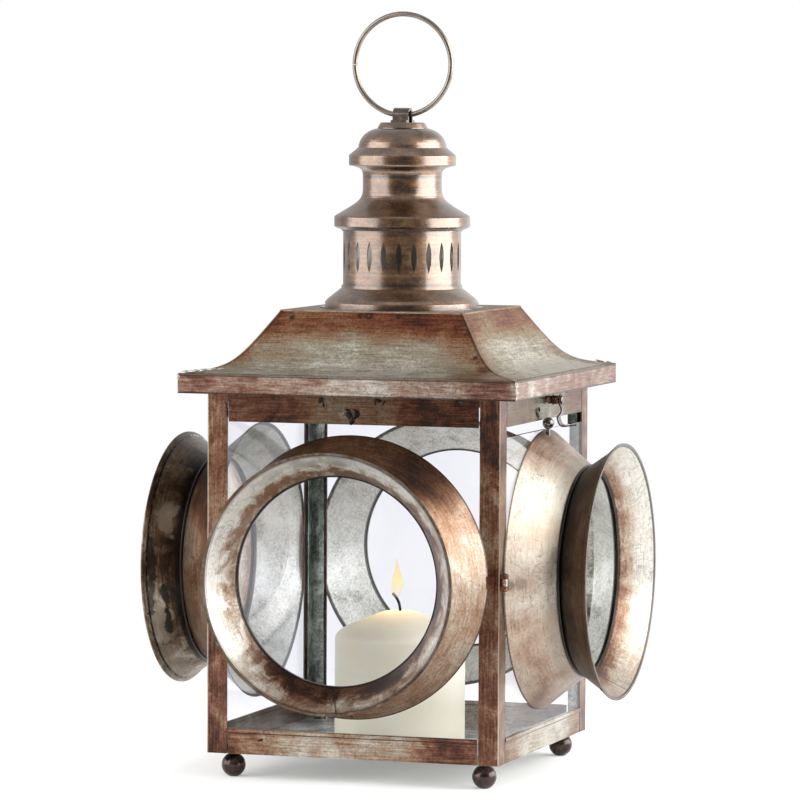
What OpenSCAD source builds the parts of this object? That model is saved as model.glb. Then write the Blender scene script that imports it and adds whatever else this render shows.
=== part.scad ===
// Candle lantern with four porthole hoods, a pagoda roof and a spun vent cap.
// Frame: the front faces -Y and the door and its latch face +X; z = 0 is the plane that the four feet
// stand on, and x = y = 0 is the centre of the body.

/* [Body] */
// Width of the square body across the outer faces of the posts
body_w = 175; // [165:1:215]
// Width of each leg of an L-shaped corner post
post_leg = 12; // [10:0.5:16]
// Thickness of the folded sheet of the body and roof
sheet_t = 0.8; // [0.6:0.1:1.2]
// Height of the bottom rails, from the floor plate's underside to the window
bottom_rail_h = 14.6; // [12:0.2:24]
// Height of the top rails, from the window to the soffit
top_rail_h = 16.3; // [15:0.1:24]
// Open joint between the end of a rail and the post beside it
rail_gap = 0.8; // [0.4:0.1:1.6]
// Height of the rolled hem along the top of a bottom rail
hem_h = 2.6; // [1.5:0.1:4]
// How far that hem stands out from the rail
hem_t = 0.5; // [0.3:0.1:0.8]

/* [Feet] */
// Radius of a ball foot
foot_r = 7; // [5:0.5:9]
// Radius of the small flat that a foot stands on
foot_flat_r = 2.2; // [1:0.1:3]
// Distance of a foot's centre from the two outer faces of its corner
foot_inset = 11.9; // [10:0.1:16]
// Radius of the collar between a ball and the floor plate
foot_neck_r = 3.2; // [2.6:0.1:4.5]
// Height of that collar above the ball
foot_neck_h = 0.75; // [0.4:0.05:2]
// Radius of the threaded stud of a foot
foot_stud_r = 1.95; // [1.5:0.05:2.5]
// Width of a foot nut across its flats
nut_w = 7; // [6:0.5:8]
// Height of a foot nut
nut_h = 3.2; // [2:0.1:4]

/* [Glass] */
// Thickness of a glass pane
glass_t = 2; // [1.5:0.5:3]
// Play around a pane in its channel and around the door's pane in its window
glass_play = 0.3; // [0.2:0.05:0.5]
// Length of the legs of the channel that holds two panes inside a post
channel_leg = 11; // [8:0.5:14]
// Thickness of the channel's strip
channel_t = 0.6; // [0.4:0.1:1]

/* [Hoods] */
// Distance from a post's outer corner to the nearest point of a hood's base
hood_inset = 6.5; // [5.5:0.5:8]
// Height from the bottom rail to the lowest point of a hood's base
hood_clear_low = 8.2; // [4:0.2:16]
// Height from the highest point of a hood's base to the top rail
hood_clear_top = 5.9; // [5.5:0.1:12]
// Gap between a hood's base and the faces of the posts
hood_gap = 0.3; // [0.25:0.05:0.6]
// Outer radius of a hood at its waist
waist_r = 60.4; // [50:0.2:72]
// Outer radius of a hood at its rim
rim_r = 74; // [68:0.5:90]
// Depth of a hood's base cone
cone_depth = 25.3; // [18:0.1:34]
// Depth of a hood's flare from the waist bead to the rim
flare_depth = 18.9; // [12:0.1:28]
// Width of the bead around the waist
bead_w = 1.8; // [1.2:0.1:3]
// How far the bead stands out from the waist
bead_out = 1.1; // [0.6:0.1:1.5]
// How far the bead stands in from the waist
bead_in = 1.4; // [1.2:0.1:2]
// Thickness of the hood sheet
hood_t = 0.7; // [0.5:0.1:1]
// Width of the folded hem at the rim
rim_hem_w = 2.8; // [1.5:0.1:4]
// Extra thickness of the folded hem at the rim
rim_hem_t = 0.7; // [0.4:0.1:1]
// Height of a solder tab that holds a hood to a post
tab_h = 7; // [4:0.5:10]
// Length of a tab over the post, from the hood's edge
tab_len = 3.8; // [2:0.1:5]
// Thickness of a tab
tab_t = 1.4; // [0.8:0.1:2]

/* [Roof] */
// How far the eave stands out from the faces of the posts
eave_out = 13.4; // [8:0.2:20]
// Height of the eave band
eave_h = 10.6; // [6:0.2:16]
// Rise of the roof from the top of the eave band to its flat top
roof_rise = 36; // [28:0.5:48]
// Width of the square flat top
roof_top_w = 111; // [100:1:120]
// Distance that the bend of a roof panel lies in from the eave
bend_in = 24.3; // [18:0.1:30]
// Height of the bend of a roof panel above its lower edge
bend_up = 3.1; // [2:0.1:8]
// Width of the ledge that the soffit leaves inside the posts
soffit_ledge = 7.5; // [5:0.5:10]
// Radius of the smoke hole in the flat top
smoke_r = 30; // [20:1:32]

/* [Vent cap] */
// Thickness of the spun sheet of the cap
cap_t = 0.8; // [0.6:0.1:1]
// Outer radius of the vent drum
drum_r = 34.3; // [33:0.1:42]
// Height of the vent drum above the flat top
drum_h = 46; // [42:0.5:60]
// Number of slots around the drum
slot_count = 24; // [12:1:28]
// Height of a slot
slot_h = 17.9; // [12:0.1:22]
// Width of a slot at its middle
slot_w = 3.5; // [2:0.1:5]
// Height of the slots' middle above the flat top
slot_up = 30.1; // [26:0.1:34]
// How far the skirt's rolled edge stands out from the drum
skirt_out = 10.4; // [8:0.1:14]
// Height of the skirt
skirt_h = 13.1; // [12:0.1:15]
// Width of the thin flange under the skirt
flange_out = 2.8; // [1:0.1:4]
// How far the lower ridge stands out from the drum
ridge_out = 5.2; // [4:0.1:8]
// Outer radius of the cap's neck
neck_r = 22.95; // [18:0.05:28]
// Height of the neck piece, from its lower edge to its lip
neck_h = 38; // [34:0.5:44]
// How far the upper ridge stands out from the neck
upper_ridge_out = 8.15; // [7:0.05:10]
// Height of the dome above the neck's lip
dome_h = 21.4; // [18:0.1:26]
// Radius of the foot of the collar on top of the dome
collar_r = 14.5; // [12:0.1:16]
// Height of that collar
collar_h = 3.5; // [2.5:0.1:5]

/* [Hanging ring] */
// Radius of the ring to the middle of its wire
ring_r = 29.3; // [24:0.1:36]
// Radius of the ring's wire
wire_r = 1.5; // [1.2:0.1:1.8]
// Width of the strap that holds the ring
strap_w = 9.6; // [7:0.1:12]
// Thickness of the strap
strap_t = 1.4; // [0.8:0.1:1.6]
// Radius of the eye that the strap forms around the wire
eye_r = 2.9; // [2.5:0.1:3.6]
// Height of the eye's centre above the collar
eye_up = 4.2; // [4:0.1:8]
// Length of each foot of the strap
strap_foot = 3.4; // [2:0.1:5]
// Width of the open joint in the ring's wire
ring_joint = 0.3; // [0.2:0.1:0.6]

/* [Candle] */
// Radius of the candle
candle_r = 38.1; // [20:0.1:45]
// Height of the candle
candle_h = 75.7; // [50:0.1:110]
// Height of the sloping shoulder at the candle's top
shoulder_h = 12.5; // [6:0.1:16]
// Radius of the wick
wick_r = 0.8; // [0.5:0.1:1.2]
// Depth of the wick's hole in the candle
wick_depth = 5; // [3:0.5:10]
// Radius of the wick's bend
wick_bend_r = 13.4; // [8:0.1:20]
// Angle of the wick's bend
wick_bend = 49; // [20:1:70]

/* [Door hinge] */
// Radius of a hinge knuckle
knuckle_r = 2; // [1.6:0.1:2.6]
// Height of the door's knuckle
knuckle_h = 4; // [3:0.5:8]
// Height of each lug on the post
lug_h = 2.4; // [1.6:0.1:4]
// Radius of the hinge pin
pin_r = 0.8; // [0.6:0.1:1]
// Distance of the pin's centre from the edge of the hood's base
pin_off = 3.2; // [2.9:0.1:4]

/* [Latch] */
// Distance of the latch stud's centre from the middle of the side
latch_y = 3.5; // [2:0.1:8]
// Height of the stud's centre above the window
latch_up = 11.2; // [10:0.1:11.8]
// Radius of the stud
stud_r = 1.5; // [1.2:0.1:1.8]
// Length of the spring on the stud
spring_len = 3.8; // [3:0.1:6]
// Radius of the spring's wire
spring_wire_r = 0.5; // [0.4:0.05:0.6]
// Length of the domed collar on the stud
knob_len = 3.9; // [3:0.1:6]
// Radius of the domed collar
knob_r = 2.6; // [2.2:0.1:3]
// Thickness of the latch strip
strip_t = 0.8; // [0.5:0.1:1]
// Width of the latch strip
strip_w = 6; // [4:0.5:8]
// Radius of the strip's eye
strip_eye_r = 3.6; // [3.2:0.1:4]
// Length of the finger tail at the strip's lower end
tail_len = 8; // [5:0.5:12]
// Radius of the keeper ball on the door
ball_r = 3.4; // [2.5:0.1:4]
// Distance of the keeper ball from the middle of the side, on the hinge's side
ball_y = 5; // [4:0.1:8]

/* [Node] */
// Node to draw

/* [Hidden] */
$fn = 96;
// Radial play of a turning fit
fit_play = 0.06;
// Play between spun or soldered pieces that slide into each other
slip = 0.05;
// Gap between faces that pass each other
run_gap = 0.3;
// Extra length of a cutting tool past the face that it cuts
over = 1;
// How far a foot's stud stands out of its nut
stud_past = 1;
// Inset of the door's collar from the edge of its pane
sleeve_inset = 1.2;
// How far the cap's neck reaches down over the drum
neck_lap = 1.4;
// Gap between the keeper ball and the hood's edge below it
ball_lift = 0.6;
// End play of the latch strip on its stud
strip_play = 0.2;
// Gap between the door's pane and the latch strip that it passes under
strip_clear = 0.7;

half_w = body_w / 2;
inner_w = half_w - sheet_t;
window_half = half_w - post_leg;
hood_r = half_w - hood_inset;

foot_cz = sqrt(foot_r * foot_r - foot_flat_r * foot_flat_r);
foot_at = half_w - foot_inset;
floor_z = foot_cz + foot_r + foot_neck_h;
floor_top = floor_z + sheet_t;
window_z = floor_z + bottom_rail_h;
hood_z = window_z + hood_clear_low + hood_r;
window_top = hood_z + hood_r + hood_clear_top;
soffit_z = window_top + top_rail_h;

eave_half = half_w + eave_out;
eave_top = soffit_z + eave_h;
roof_z = eave_top + roof_rise;
roof_half = roof_top_w / 2;

// Panes lie behind the post legs, between them and the channel
pane_out = inner_w - glass_play;
channel_in = sheet_t + glass_t + 2 * glass_play;
pane_half = half_w - channel_in - channel_t - glass_play;
door_half = window_half - glass_play;
// The door's pane ends level with its hood, so that it passes under the latch strip
door_top = hood_z + hood_r;

// Distances along a hood's axis, measured out from the post faces
cone_out = hood_gap + cone_depth;
bead_end = cone_out + bead_w;
rim_out = bead_end + flare_depth;
cone_wall = hood_t * norm([cone_depth, hood_r - waist_r]) / cone_depth;
flare_wall = hood_t * norm([flare_depth, rim_r - rim_hem_t - waist_r]) / flare_depth;
// Collar that joins the door's pane to its hood
sleeve_r = door_half - sleeve_inset;

ridge_r = drum_r + ridge_out;
skirt_r = drum_r + skirt_out;
upper_ridge_r = neck_r + upper_ridge_out;
drum_top = roof_z + drum_h;
neck_z = drum_top - neck_lap;
neck_top = neck_z + neck_h;
dome_top = neck_top + dome_h;
collar_top = dome_top + collar_h;
ring_axis_z = collar_top + eye_up;

hinge_x = half_w + knuckle_r + run_gap;
hinge_y = hood_r + pin_off;
lug_gap = 0.15;

latch_z = window_top + latch_up;
spring_r = stud_r + fit_play + 2 * spring_wire_r;
knob_x = half_w + spring_len;
strip_x = knob_x + knob_len + strip_play;
stud_end_x = strip_x + strip_t + strip_play;
// The keeper ball stands clear of the rail's face and above the hood's edge
ball_x = half_w + ball_r;
ball_z = door_top + ball_r + ball_lift;

// Angles that turn a piece made for the right side (+X) onto each side
side_right = 0;
side_back = 90;
side_left = 180;
side_front = 270;

copper = [0.55, 0.36, 0.27];
bronze = [0.50, 0.40, 0.32];
tin = [0.62, 0.62, 0.58];
dark = [0.22, 0.17, 0.15];
steel = [0.72, 0.70, 0.68];
clear = [0.80, 0.88, 0.90, 0.35];
wax = [0.96, 0.93, 0.84];

// ---- outlines ----

// Quadratic curve from a to b, pulled towards c
function arch(a, c, b, n = 10) =
    [for (i = [0:n]) let (t = i / n) (1 - t) * (1 - t) * a + 2 * t * (1 - t) * c + t * t * b];

// Tighter curve from a to b around the corner c: a cubic whose two inner points are both c
function bend(a, c, b, n = 12) =
    [for (i = [0:n]) let (t = i / n)
        pow(1 - t, 3) * a + 3 * t * (1 - t) * c + pow(t, 3) * b];

// Unit normal on the right of the way from a to b
function right_of(a, b) = [b[1] - a[1], a[0] - b[0]] / norm(b - a);

// The path moved by t to its right, with mitred corners
function beside(path, t) = let (last = len(path) - 1)
    [for (i = [0:last]) let (
        before = right_of(path[max(i - 1, 0)], path[max(i, 1)]),
        after = right_of(path[min(i, last - 1)], path[min(i + 1, last)]),
        both = before + after
    ) path[i] + t * 2 * both / (both * both)];

function reversed(path) = [for (i = [len(path) - 1:-1:0]) path[i]];

// Outline of a sheet of thickness t that lies on the left of a path
function sheet(path, t) = concat(path, reversed(beside(path, -t)));

// ---- placing ----

// Places a shape of revolution drawn as (radius, distance from the post face) on the right side
module on_right_face() {
    translate([half_w, 0, hood_z])
        rotate([0, 90, 0])
            children();
}

// Extrudes an outline drawn as (distance out, height) along the right side
module along_right(length) {
    rotate([90, 0, 0])
        linear_extrude(length, center = true)
            children();
}

module at_side(angle) {
    rotate([0, 0, angle])
        children();
}

module at_corners(at) {
    for (sx = [-1, 1], sy = [-1, 1])
        translate([sx * at, sy * at, 0])
            children();
}

// ---- body ----

module floor_plate() {
    color(tin)
        difference() {
            translate([-inner_w, -inner_w, floor_z])
                cube([2 * inner_w, 2 * inner_w, sheet_t]);
            at_corners(foot_at)
                translate([0, 0, floor_z - over])
                    cylinder(r = foot_stud_r + slip, h = sheet_t + 2 * over);
        }
}

// Ball with a flat to stand on, a short collar under the floor plate and a stud through it
module ball_feet() {
    stud_top = floor_top + nut_h + stud_past;
    color(dark)
        at_corners(foot_at) {
            difference() {
                union() {
                    translate([0, 0, foot_cz])
                        sphere(r = foot_r);
                    translate([0, 0, foot_cz + foot_r / 2])
                        cylinder(r = foot_neck_r, h = floor_z - foot_cz - foot_r / 2);
                    translate([0, 0, foot_cz])
                        cylinder(r = foot_stud_r, h = stud_top - foot_cz);
                }
                translate([0, 0, -foot_r])
                    cylinder(r = foot_r, h = foot_r);
            }
        }
}

module foot_nuts() {
    color(steel)
        at_corners(foot_at)
            translate([0, 0, floor_top])
                difference() {
                    cylinder(r = nut_w / sqrt(3), h = nut_h, $fn = 6);
                    translate([0, 0, -over])
                        cylinder(r = foot_stud_r + slip, h = nut_h + 2 * over);
                }
}

// L-shaped corner post at the corner that faces +X and +Y
module post() {
    color(copper)
        translate([0, 0, floor_z])
            linear_extrude(soffit_z - floor_z)
                polygon([[half_w, half_w], [window_half, half_w], [window_half, inner_w],
                    [inner_w, inner_w], [inner_w, window_half], [half_w, window_half]]);
}

// Two crossed strips inside each post that leave a slot for the edge of each pane
module glass_channels() {
    strip_in = half_w - channel_in - channel_t;
    strip_end = half_w - channel_leg;
    color(tin)
        for (turn = [0:90:270])
            rotate([0, 0, turn])
                translate([0, 0, floor_top])
                    linear_extrude(soffit_z - floor_top)
                        union() {
                            translate([strip_in, strip_end])
                                square([channel_t, inner_w - strip_end]);
                            translate([strip_end, strip_in])
                                square([inner_w - strip_end, channel_t]);
                        }
}

// Strip with its rolled hem along the top edge, between two posts
module bottom_rail() {
    color(copper)
        along_right(2 * (window_half - rail_gap))
            polygon([[inner_w, floor_z], [half_w, floor_z], [half_w, window_z - hem_h],
                [half_w + hem_t, window_z - hem_h + hem_t], [half_w + hem_t, window_z - hem_t],
                [half_w, window_z], [inner_w, window_z]]);
}

module top_rail() {
    color(copper)
        along_right(2 * (window_half - rail_gap))
            translate([inner_w, window_top])
                square([sheet_t, top_rail_h]);
}

module top_rail_right() {
    color(copper)
        difference() {
            top_rail();
            translate([inner_w - over, latch_y, latch_z])
                rotate([0, 90, 0])
                    cylinder(r = stud_r + slip, h = sheet_t + 2 * over);
        }
}

// ---- glass ----

module glass_pane() {
    color(clear)
        translate([pane_out - glass_t, -pane_half, floor_top])
            cube([glass_t, 2 * pane_half, soffit_z - glass_play - floor_top]);
}

module door_glass() {
    color(clear)
        translate([half_w - glass_t, -door_half, window_z + glass_play])
            cube([glass_t, 2 * door_half, door_top - window_z - glass_play]);
}

// ---- hoods ----

// How far out the inside of a hood's cone has the radius r
function cone_inner_out(r) = hood_gap + (hood_r - cone_wall - r) * cone_depth / (hood_r - waist_r);

module hood_cone() {
    color(copper)
        on_right_face()
            rotate_extrude()
                polygon([[hood_r - cone_wall, hood_gap], [hood_r, hood_gap],
                    [waist_r, cone_out], [waist_r - cone_wall, cone_out]]);
}

// The space inside a hood's outer cone, which shapes what is seated on it
module cone_space() {
    on_right_face()
        rotate_extrude()
            polygon([[0, hood_gap], [hood_r, hood_gap], [waist_r, cone_out], [0, cone_out]]);
}

module hood_bead() {
    round_r = bead_w / 2;
    color(copper)
        on_right_face()
            rotate_extrude()
                translate([0, cone_out])
                    union() {
                        translate([waist_r - bead_in, 0])
                            square([bead_in + bead_out - round_r, bead_w]);
                        translate([waist_r + bead_out - round_r, round_r])
                            circle(r = round_r, $fn = 32);
                    }
}

module hood_flare() {
    slope = (rim_r - rim_hem_t - waist_r) / flare_depth;
    hem_out = rim_out - rim_hem_w;
    hem_r = waist_r + slope * (hem_out - bead_end);
    color(copper)
        on_right_face()
            rotate_extrude()
                polygon([[waist_r - flare_wall, bead_end], [waist_r, bead_end], [hem_r, hem_out],
                    [hem_r + rim_hem_t, hem_out], [rim_r, rim_out - rim_hem_t], [rim_r, rim_out],
                    [rim_r - rim_hem_t - flare_wall, rim_out]]);
}

// Solder tabs at mid height that hold the fixed hoods to the posts
module hood_tabs() {
    color(copper)
        for (side = [side_front, side_back, side_left], end = [-1, 1])
            at_side(side)
                difference() {
                    translate([half_w, end * (hood_r + tab_len / 2 - tab_t / 2) - (tab_len + tab_t) / 2,
                        hood_z - tab_h / 2])
                        cube([tab_t, tab_len + tab_t, tab_h]);
                    cone_space();
                }
}

// Thin collar between the door's pane and the inside of its hood
module door_glass_collar() {
    color(tin)
        on_right_face()
            rotate_extrude()
                polygon([[sleeve_r - sheet_t, 0], [sleeve_r, 0], [sleeve_r, cone_inner_out(sleeve_r) - slip],
                    [sleeve_r - sheet_t, cone_inner_out(sleeve_r - sheet_t) - slip]]);
}

// ---- roof ----

// Flat frame that closes the underside of the eave and carries the roof on the posts
module soffit_frame() {
    ledge = inner_w - soffit_ledge;
    color(tin)
        translate([0, 0, soffit_z])
            linear_extrude(sheet_t)
                difference() {
                    square(2 * (eave_half - sheet_t), center = true);
                    square(2 * ledge, center = true);
                }
}

module eave_band() {
    color(copper)
        translate([0, 0, soffit_z])
            linear_extrude(eave_h)
                difference() {
                    square(2 * eave_half, center = true);
                    square(2 * (eave_half - sheet_t), center = true);
                }
}

// Concave panel, mitred along both hips, that rests on the eave band
module roof_panel() {
    top = [roof_half, roof_z - sheet_t];
    low = [eave_half, eave_top + sheet_t];
    corner = [eave_half - bend_in, low[1] + bend_up];
    outer = bend(top, corner, low, 20);
    inner = beside(outer, sheet_t);
    last = len(outer) - 1;
    steep = norm(corner - top) / (top[1] - corner[1]);
    outline = concat(outer, [[eave_half, eave_top], [eave_half - sheet_t, eave_top]],
        [for (i = [last - 1:-1:1]) inner[i]], [[roof_half - sheet_t * steep, top[1]]]);
    color(copper)
        intersection() {
            along_right(2 * eave_half)
                polygon(outline);
            linear_extrude(roof_z)
                polygon([[0, 0], [eave_half, -eave_half], [eave_half, eave_half]]);
        }
}

module roof_top_plate() {
    color(copper)
        translate([0, 0, roof_z - sheet_t])
            difference() {
                linear_extrude(sheet_t)
                    square(roof_top_w, center = true);
                translate([0, 0, -over])
                    cylinder(r = smoke_r, h = sheet_t + 2 * over);
            }
}

// ---- vent cap ----

module vent_skirt() {
    flange_t = 0.6;
    edge_h = 3.2;
    edge_round = 1.4;
    socket_h = 1.6;
    socket_r = drum_r + slip + cap_t;
    path = [[skirt_r, roof_z], [skirt_r, roof_z + edge_h],
        [skirt_r - edge_round, roof_z + edge_h + 1.3 * edge_round],
        [socket_r, roof_z + skirt_h - socket_h], [socket_r, roof_z + skirt_h]];
    color(bronze)
        rotate_extrude()
            union() {
                polygon(sheet(path, cap_t));
                translate([skirt_r - cap_t, roof_z])
                    square([cap_t + flange_out, flange_t]);
            }
}

// Tube with lens-shaped slots, standing on the flat top
module vent_drum() {
    lens_r = (slot_h * slot_h / 4 + slot_w * slot_w / 4) / slot_w;
    color(bronze)
        difference() {
            translate([0, 0, roof_z])
                cylinder(r = drum_r, h = drum_h);
            translate([0, 0, roof_z - over])
                cylinder(r = drum_r - cap_t, h = drum_h + 2 * over);
            for (i = [0:slot_count - 1])
                rotate([0, 0, 360 * i / slot_count])
                    translate([drum_r - 3 * cap_t, 0, roof_z + slot_up])
                        rotate([90, 0, 90])
                            linear_extrude(5 * cap_t)
                                intersection() {
                                    translate([lens_r - slot_w / 2, 0])
                                        circle(r = lens_r);
                                    translate([slot_w / 2 - lens_r, 0])
                                        circle(r = lens_r);
                                }
        }
}

// Spun neck: a socket over the drum, the lower ridge, a cove, the neck and a lip under the dome
module cap_neck() {
    ridge_h = 9.1;
    ridge_round = 0.9;
    cove_h = 18.3;
    flare_h = 9.6;
    socket_r = drum_r + slip + cap_t;
    // The ridge springs from the drum's top edge and the cove from the ridge
    ridge_low = drum_top + 0.6;
    shoulder_z = neck_z + ridge_h;
    lip_r = upper_ridge_r - cap_t - 0.4;
    path = concat(
        [[socket_r, neck_z], [socket_r, ridge_low - neck_lap], [ridge_r - ridge_round, ridge_low],
            [ridge_r, ridge_low + ridge_round], [ridge_r, shoulder_z - ridge_round]],
        bend([ridge_r - ridge_round, shoulder_z], [neck_r, shoulder_z + cove_h / 2],
            [neck_r, shoulder_z + cove_h]),
        bend([neck_r, neck_top - flare_h], [neck_r, neck_top - flare_h / 5], [lip_r, neck_top])
    );
    color(bronze)
        rotate_extrude()
            polygon(sheet(path, cap_t));
}

// Spun dome: the upper ridge, which slips over the neck's lip, a slope and a round crown
module cap_dome() {
    ridge_h = 5.8;
    ridge_round = 0.6;
    ridge_top = neck_top + ridge_h;
    slope_h = 4.6;
    crown_r = upper_ridge_r - 5.4;
    path = concat(
        [[upper_ridge_r - ridge_round / 2, neck_top - 0.1], [upper_ridge_r, neck_top + ridge_round],
            [upper_ridge_r, ridge_top], [upper_ridge_r - ridge_round, ridge_top + ridge_round]],
        arch([crown_r, ridge_top + slope_h], [crown_r - 1.1, dome_top - 2.4], [collar_r + 0.7, dome_top]),
        [[0, dome_top]]
    );
    color(bronze)
        rotate_extrude()
            polygon(sheet(path, cap_t));
}

module cap_collar() {
    lean = 2;
    edge_h = 0.5;
    path = [[collar_r, dome_top], [collar_r, dome_top + edge_h],
        [collar_r - 0.7 * lean, collar_top - edge_h], [collar_r - lean, collar_top], [0, collar_top]];
    color(bronze)
        rotate_extrude()
            polygon(sheet(path, cap_t));
}

// ---- hanging ring ----

// Strap folded over the ring's wire, with a foot turned out on each side
module ring_strap() {
    strap_r = eye_r + strap_t;
    color(dark)
        translate([0, 0, ring_axis_z])
            rotate([0, 90, 0])
                translate([0, 0, -strap_w / 2])
                    difference() {
                        union() {
                            cylinder(r = strap_r, h = strap_w);
                            translate([0, -strap_r, 0])
                                cube([eye_up, 2 * strap_r, strap_w]);
                            translate([eye_up - strap_t, -strap_r - strap_foot, 0])
                                cube([strap_t, 2 * (strap_r + strap_foot), strap_w]);
                        }
                        translate([0, 0, -over])
                            cylinder(r = eye_r, h = strap_w + 2 * over);
                        translate([0, -eye_r, -over])
                            cube([eye_up + over, 2 * eye_r, strap_w + 2 * over]);
                    }
}

module hanging_ring() {
    color(dark)
        translate([0, 0, ring_axis_z + ring_r])
            rotate([90, 0, 0])
                difference() {
                    rotate_extrude()
                        translate([ring_r, 0])
                            circle(r = wire_r, $fn = 48);
                    translate([-ring_r - 2 * wire_r, -ring_joint / 2, -2 * wire_r])
                        cube([4 * wire_r, ring_joint, 4 * wire_r]);
                }
}

// ---- candle ----

module candle() {
    top_z = floor_top + candle_h;
    edge = 1;
    round_h = 3.9;
    side_top = [candle_r, top_z - shoulder_h - round_h];
    slope_low = [candle_r - 8, top_z - shoulder_h * 0.68];
    slope_high = [candle_r / 3, top_z - shoulder_h * 0.12];
    outline = concat([[0, floor_top], [candle_r - edge, floor_top], [candle_r, floor_top + edge]],
        arch(side_top, [candle_r, top_z - shoulder_h], slope_low),
        arch(slope_high, [candle_r / 4, top_z], [candle_r / 6, top_z], 6), [[0, top_z]]);
    color(wax)
        difference() {
            rotate_extrude()
                polygon(outline);
            translate([0, 0, top_z - wick_depth])
                cylinder(r = wick_r + slip, h = wick_depth + over);
        }
}

// Wick, straight in the wax and bent over above it
module wick() {
    top_z = floor_top + candle_h;
    color(dark) {
        translate([0, 0, top_z - wick_depth])
            cylinder(r = wick_r, h = wick_depth);
        translate([-wick_bend_r, 0, top_z])
            rotate([90, 0, 0])
                rotate_extrude(angle = wick_bend)
                    translate([wick_bend_r, 0])
                        circle(r = wick_r, $fn = 32);
    }
}

// ---- door hinge ----

module at_hinge(up) {
    translate([hinge_x, -hinge_y, hood_z + up])
        children();
}

// Two lugs on the front right post, above and below the door's knuckle
module hinge_lugs() {
    low_ends = [knuckle_h / 2 + lug_gap, -knuckle_h / 2 - lug_gap - lug_h];
    color(copper)
        for (low = low_ends)
            at_hinge(low)
                difference() {
                    union() {
                        cylinder(r = knuckle_r, h = lug_h);
                        translate([half_w - hinge_x, -knuckle_r, 0])
                            cube([hinge_x - half_w, 2 * knuckle_r, lug_h]);
                    }
                    translate([0, 0, -over])
                        cylinder(r = pin_r + fit_play, h = lug_h + 2 * over);
                }
}

module hinge_pin() {
    head_h = 0.6;
    reach = knuckle_h / 2 + lug_gap + lug_h;
    color(steel)
        at_hinge(0) {
            translate([0, 0, -reach])
                cylinder(r = pin_r, h = 2 * reach);
            translate([0, 0, reach])
                cylinder(r = 1.6 * pin_r, h = head_h);
            translate([0, 0, -reach - head_h])
                cylinder(r = 1.6 * pin_r, h = head_h);
        }
}

// Knuckle with a leaf that is soldered to the door's hood
module door_knuckle() {
    leaf_len = pin_off + 2.4;
    color(steel)
        difference() {
            at_hinge(-knuckle_h / 2)
                union() {
                    cylinder(r = knuckle_r, h = knuckle_h);
                    translate([-sheet_t / 2, 0, 0])
                        cube([sheet_t, leaf_len, knuckle_h]);
                }
            at_hinge(-knuckle_h / 2 - over)
                cylinder(r = pin_r + fit_play, h = knuckle_h + 2 * over);
            cone_space();
        }
}

// ---- latch ----

// Turns a shape of revolution about z onto the stud's line, starting at the given x
module on_stud(x) {
    translate([x, latch_y, latch_z])
        rotate([0, 90, 0])
            children();
}

// Riveted stud through the right top rail
module latch_stud() {
    head_r = 2 * stud_r;
    head_t = 1;
    color(steel) {
        on_stud(inner_w - head_t)
            cylinder(r = head_r, h = head_t);
        on_stud(inner_w - head_t)
            cylinder(r = stud_r, h = stud_end_x - inner_w + head_t);
        on_stud(stud_end_x)
            rotate_extrude()
                polygon(concat([[0, 0]], arch([head_r * 0.85, 0], [head_r * 0.85, head_t], [0, head_t], 8)));
    }
}

// Closed coil spring between the rail and the knob, as touching turns
module latch_spring() {
    turns = floor(spring_len / (2 * spring_wire_r));
    pitch = spring_len / turns;
    bore_r = stud_r + fit_play;
    color(dark)
        on_stud(half_w)
            rotate_extrude()
                polygon(concat([[bore_r, 0]],
                    [for (i = [0:turns - 1]) each [for (k = [0:8])
                        [bore_r + spring_wire_r + spring_wire_r * sin(180 * k / 8),
                            pitch * (i + 0.5 - cos(180 * k / 8) / 2)]]],
                    [[bore_r, spring_len]]));
}

// Domed collar that the spring presses on
module latch_knob() {
    washer_t = 0.7;
    color(steel)
        on_stud(knob_x)
            rotate_extrude()
                polygon(concat(
                    [[stud_r + fit_play, 0], [knob_r + 0.6, 0], [knob_r + 0.6, washer_t], [knob_r, washer_t]],
                    arch([knob_r, knob_len / 2], [knob_r, knob_len], [stud_r + 0.5, knob_len], 6),
                    [[stud_r + fit_play, knob_len]]));
}

// Bent strip: an eye on the stud, a bulge, a kink towards the rail and a finger tail
module latch_strip() {
    lowest = door_top + strip_clear + strip_t;
    hang = latch_z - lowest;
    bulge = 2.8;
    kink_in = 1.4;
    tail_rise = 1;
    neck_end = [strip_x, latch_z - 0.19 * hang];
    kink = [strip_x - kink_in, latch_z - 0.63 * hang];
    tail = [strip_x + bulge, lowest];
    path = concat([[strip_x, latch_z]],
        arch(neck_end, [strip_x + bulge, latch_z - 0.4 * hang], kink),
        arch([kink[0] + 0.15, kink[1] - 0.6], [kink[0] + 1, lowest], tail, 12),
        [[tail[0] + tail_len, lowest + tail_rise]]);
    color(steel)
        difference() {
            union() {
                on_stud(strip_x)
                    cylinder(r = strip_eye_r, h = strip_t);
                translate([0, latch_y, 0])
                    along_right(strip_w)
                        polygon(concat(path, reversed(beside(path, -strip_t))));
            }
            on_stud(strip_x - over)
                cylinder(r = stud_r + fit_play, h = strip_t + 2 * over);
        }
}

// Ball on a short stem that is soldered to the top of the door's hood
module keeper_ball() {
    stem_r = 1.2;
    stem_h = 4;
    color(steel)
        difference() {
            union() {
                translate([ball_x, -ball_y, ball_z])
                    sphere(r = ball_r);
                translate([ball_x, -ball_y, ball_z - ball_r - stem_h])
                    cylinder(r = stem_r, h = ball_r + stem_h);
            }
            cone_space();
        }
}

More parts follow.
